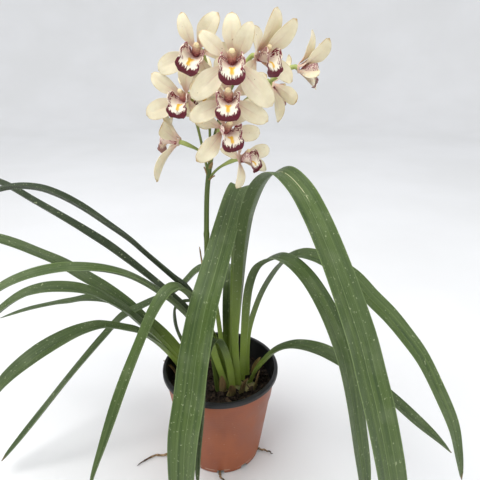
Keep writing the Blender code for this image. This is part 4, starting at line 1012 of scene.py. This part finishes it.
def makeRoots():
    # tubes that wander by sine waves and thin towards a rounded tip, with knots where two waves meet
    finish = makeCloudFinish("rootTan")
    for number, (name, root) in enumerate(roots.items()):
        path = smoothPath(root["path"], rootShape["stations"])
        share = np.linspace(0, 1, rootShape["stations"])
        path[:, 0] += 0.0006 * np.sin(31 * share + number)
        path[:, 1] += 0.0008 * np.sin(23 * share + 2 * number)
        knots = 1 + 0.10 * np.sin(47 * share + number) + 0.06 * np.sin(91 * share)
        radii = root["radius"] * (1 - rootShape["thin"] * share) * knots * np.sqrt(1.02 - share**8)
        shell = tubeShell(path, radii, rootShape["sides"], up=(0, 0, 1), tone=number / len(roots))
        makePiece(name + "_gnarled", [shell], finish, "root_tan", name)


studio = dict(floorRadius=2.6, floorDrop=0.0001, wallRise=2.4, wallBend=1.2, sides=96, rings=12, bendSteps=24,
              floorTones=((0.80, 0.80, 0.79), (0.84, 0.84, 0.835)), cloudSize=2.5, aimHeight=0.25,
              key=(-0.7, -0.5, 1.9), keyPower=27.0, keySize=1.3, fill=(1.3, -1.0, 1.2), fillPower=9.0,
              fillSize=1.4, world=(0.93, 0.95, 1.0), worldStrength=0.90)
cameraView = dict(place=(0.0256, -0.502, 0.530), pitch=23.3, lens=35.3, sensor=36.0)


def makeStudio():
    # a round floor just under the pot that bends up into a wall
    s = studio
    drop = s["floorDrop"]
    bend = np.linspace(0, math.pi / 2, s["bendSteps"])
    profile = [(s["floorRadius"] * share, 0.0) for share in np.linspace(0.01, 1, s["rings"])]
    profile += [(s["floorRadius"] + s["wallBend"] * math.sin(a), s["wallBend"] * (1 - math.cos(a)))
                for a in bend[1:]]
    radius, height = np.array(profile + [(s["floorRadius"] + s["wallBend"], s["wallRise"])]).T[..., None]
    angle = np.linspace(0, 2 * math.pi, s["sides"] + 1)[None, :]
    grid = np.stack([radius * np.cos(angle), radius * np.sin(angle), height + 0 * angle - drop], axis=2)
    mesh = bpy.data.meshes.new("pale_sweep")
    middle = grid.shape[0] * grid.shape[1]
    cells = gridCells(*grid.shape[:2]).tolist() + [[middle, c, c + 1] for c in range(s["sides"])]
    mesh.from_pydata(grid.reshape(-1, 3).tolist() + [[0, 0, -drop]], [], cells)
    mesh.shade_smooth()
    sweep = bpy.data.objects.new("pale_sweep", mesh)
    bpy.context.collection.objects.link(sweep)
    material = bpy.data.materials.new("paleFloorPaint")
    material.use_nodes = True
    tree = material.node_tree
    shader = tree.nodes["Principled BSDF"]
    spot = put(tree, "TexCoord").outputs["Object"]
    cloud = between(noise(spot, s["cloudSize"], 3.0), 0.3, 0.7)
    tree.links.new(blended(cloud, *s["floorTones"]), shader.inputs["Base Color"])
    shader.inputs["Roughness"].default_value = 0.7
    mesh.materials.append(material)
    for name in ("key", "fill"):
        light = bpy.data.lights.new(name + "Softbox", "AREA")
        light.size = s[name + "Size"]
        light.energy = s[name + "Power"]
        lamp = bpy.data.objects.new(name + "Softbox", light)
        lamp.location = s[name]
        x, y, z = np.array([0, 0, s["aimHeight"]]) - np.array(s[name])
        lamp.rotation_euler = (math.atan2(math.hypot(x, y), -z), 0, math.atan2(y, x) - math.pi / 2)
        bpy.context.collection.objects.link(lamp)
    world = bpy.data.worlds.new("softRoomLight")
    world.use_nodes = True
    backing = world.node_tree.nodes["Background"]
    backing.inputs["Color"].default_value = (*s["world"], 1.0)
    backing.inputs["Strength"].default_value = s["worldStrength"]
    bpy.context.scene.world = world
    lens = bpy.data.cameras.new("viewFromFront")
    lens.lens, lens.sensor_width = cameraView["lens"], cameraView["sensor"]
    camera = bpy.data.objects.new("viewFromFront", lens)
    camera.location = cameraView["place"]
    camera.rotation_euler = (math.radians(90 - cameraView["pitch"]), 0, 0)
    bpy.context.collection.objects.link(camera)
    bpy.context.scene.camera = camera
    bpy.context.scene.view_settings.view_transform = "Standard"


makeStudio()
print("floor, lights and camera set")
makePot()
makeMix()
makeBulbs()
print("pot, mix and pseudobulbs made")
makeLeaves()
print("leaves made:", len(leaves))
makeSheaths(makeStem())
makeFlowers()
print("stem, sheaths and flowers made:", len(flowers))
makeRoots()
print("roots made:", len(roots))
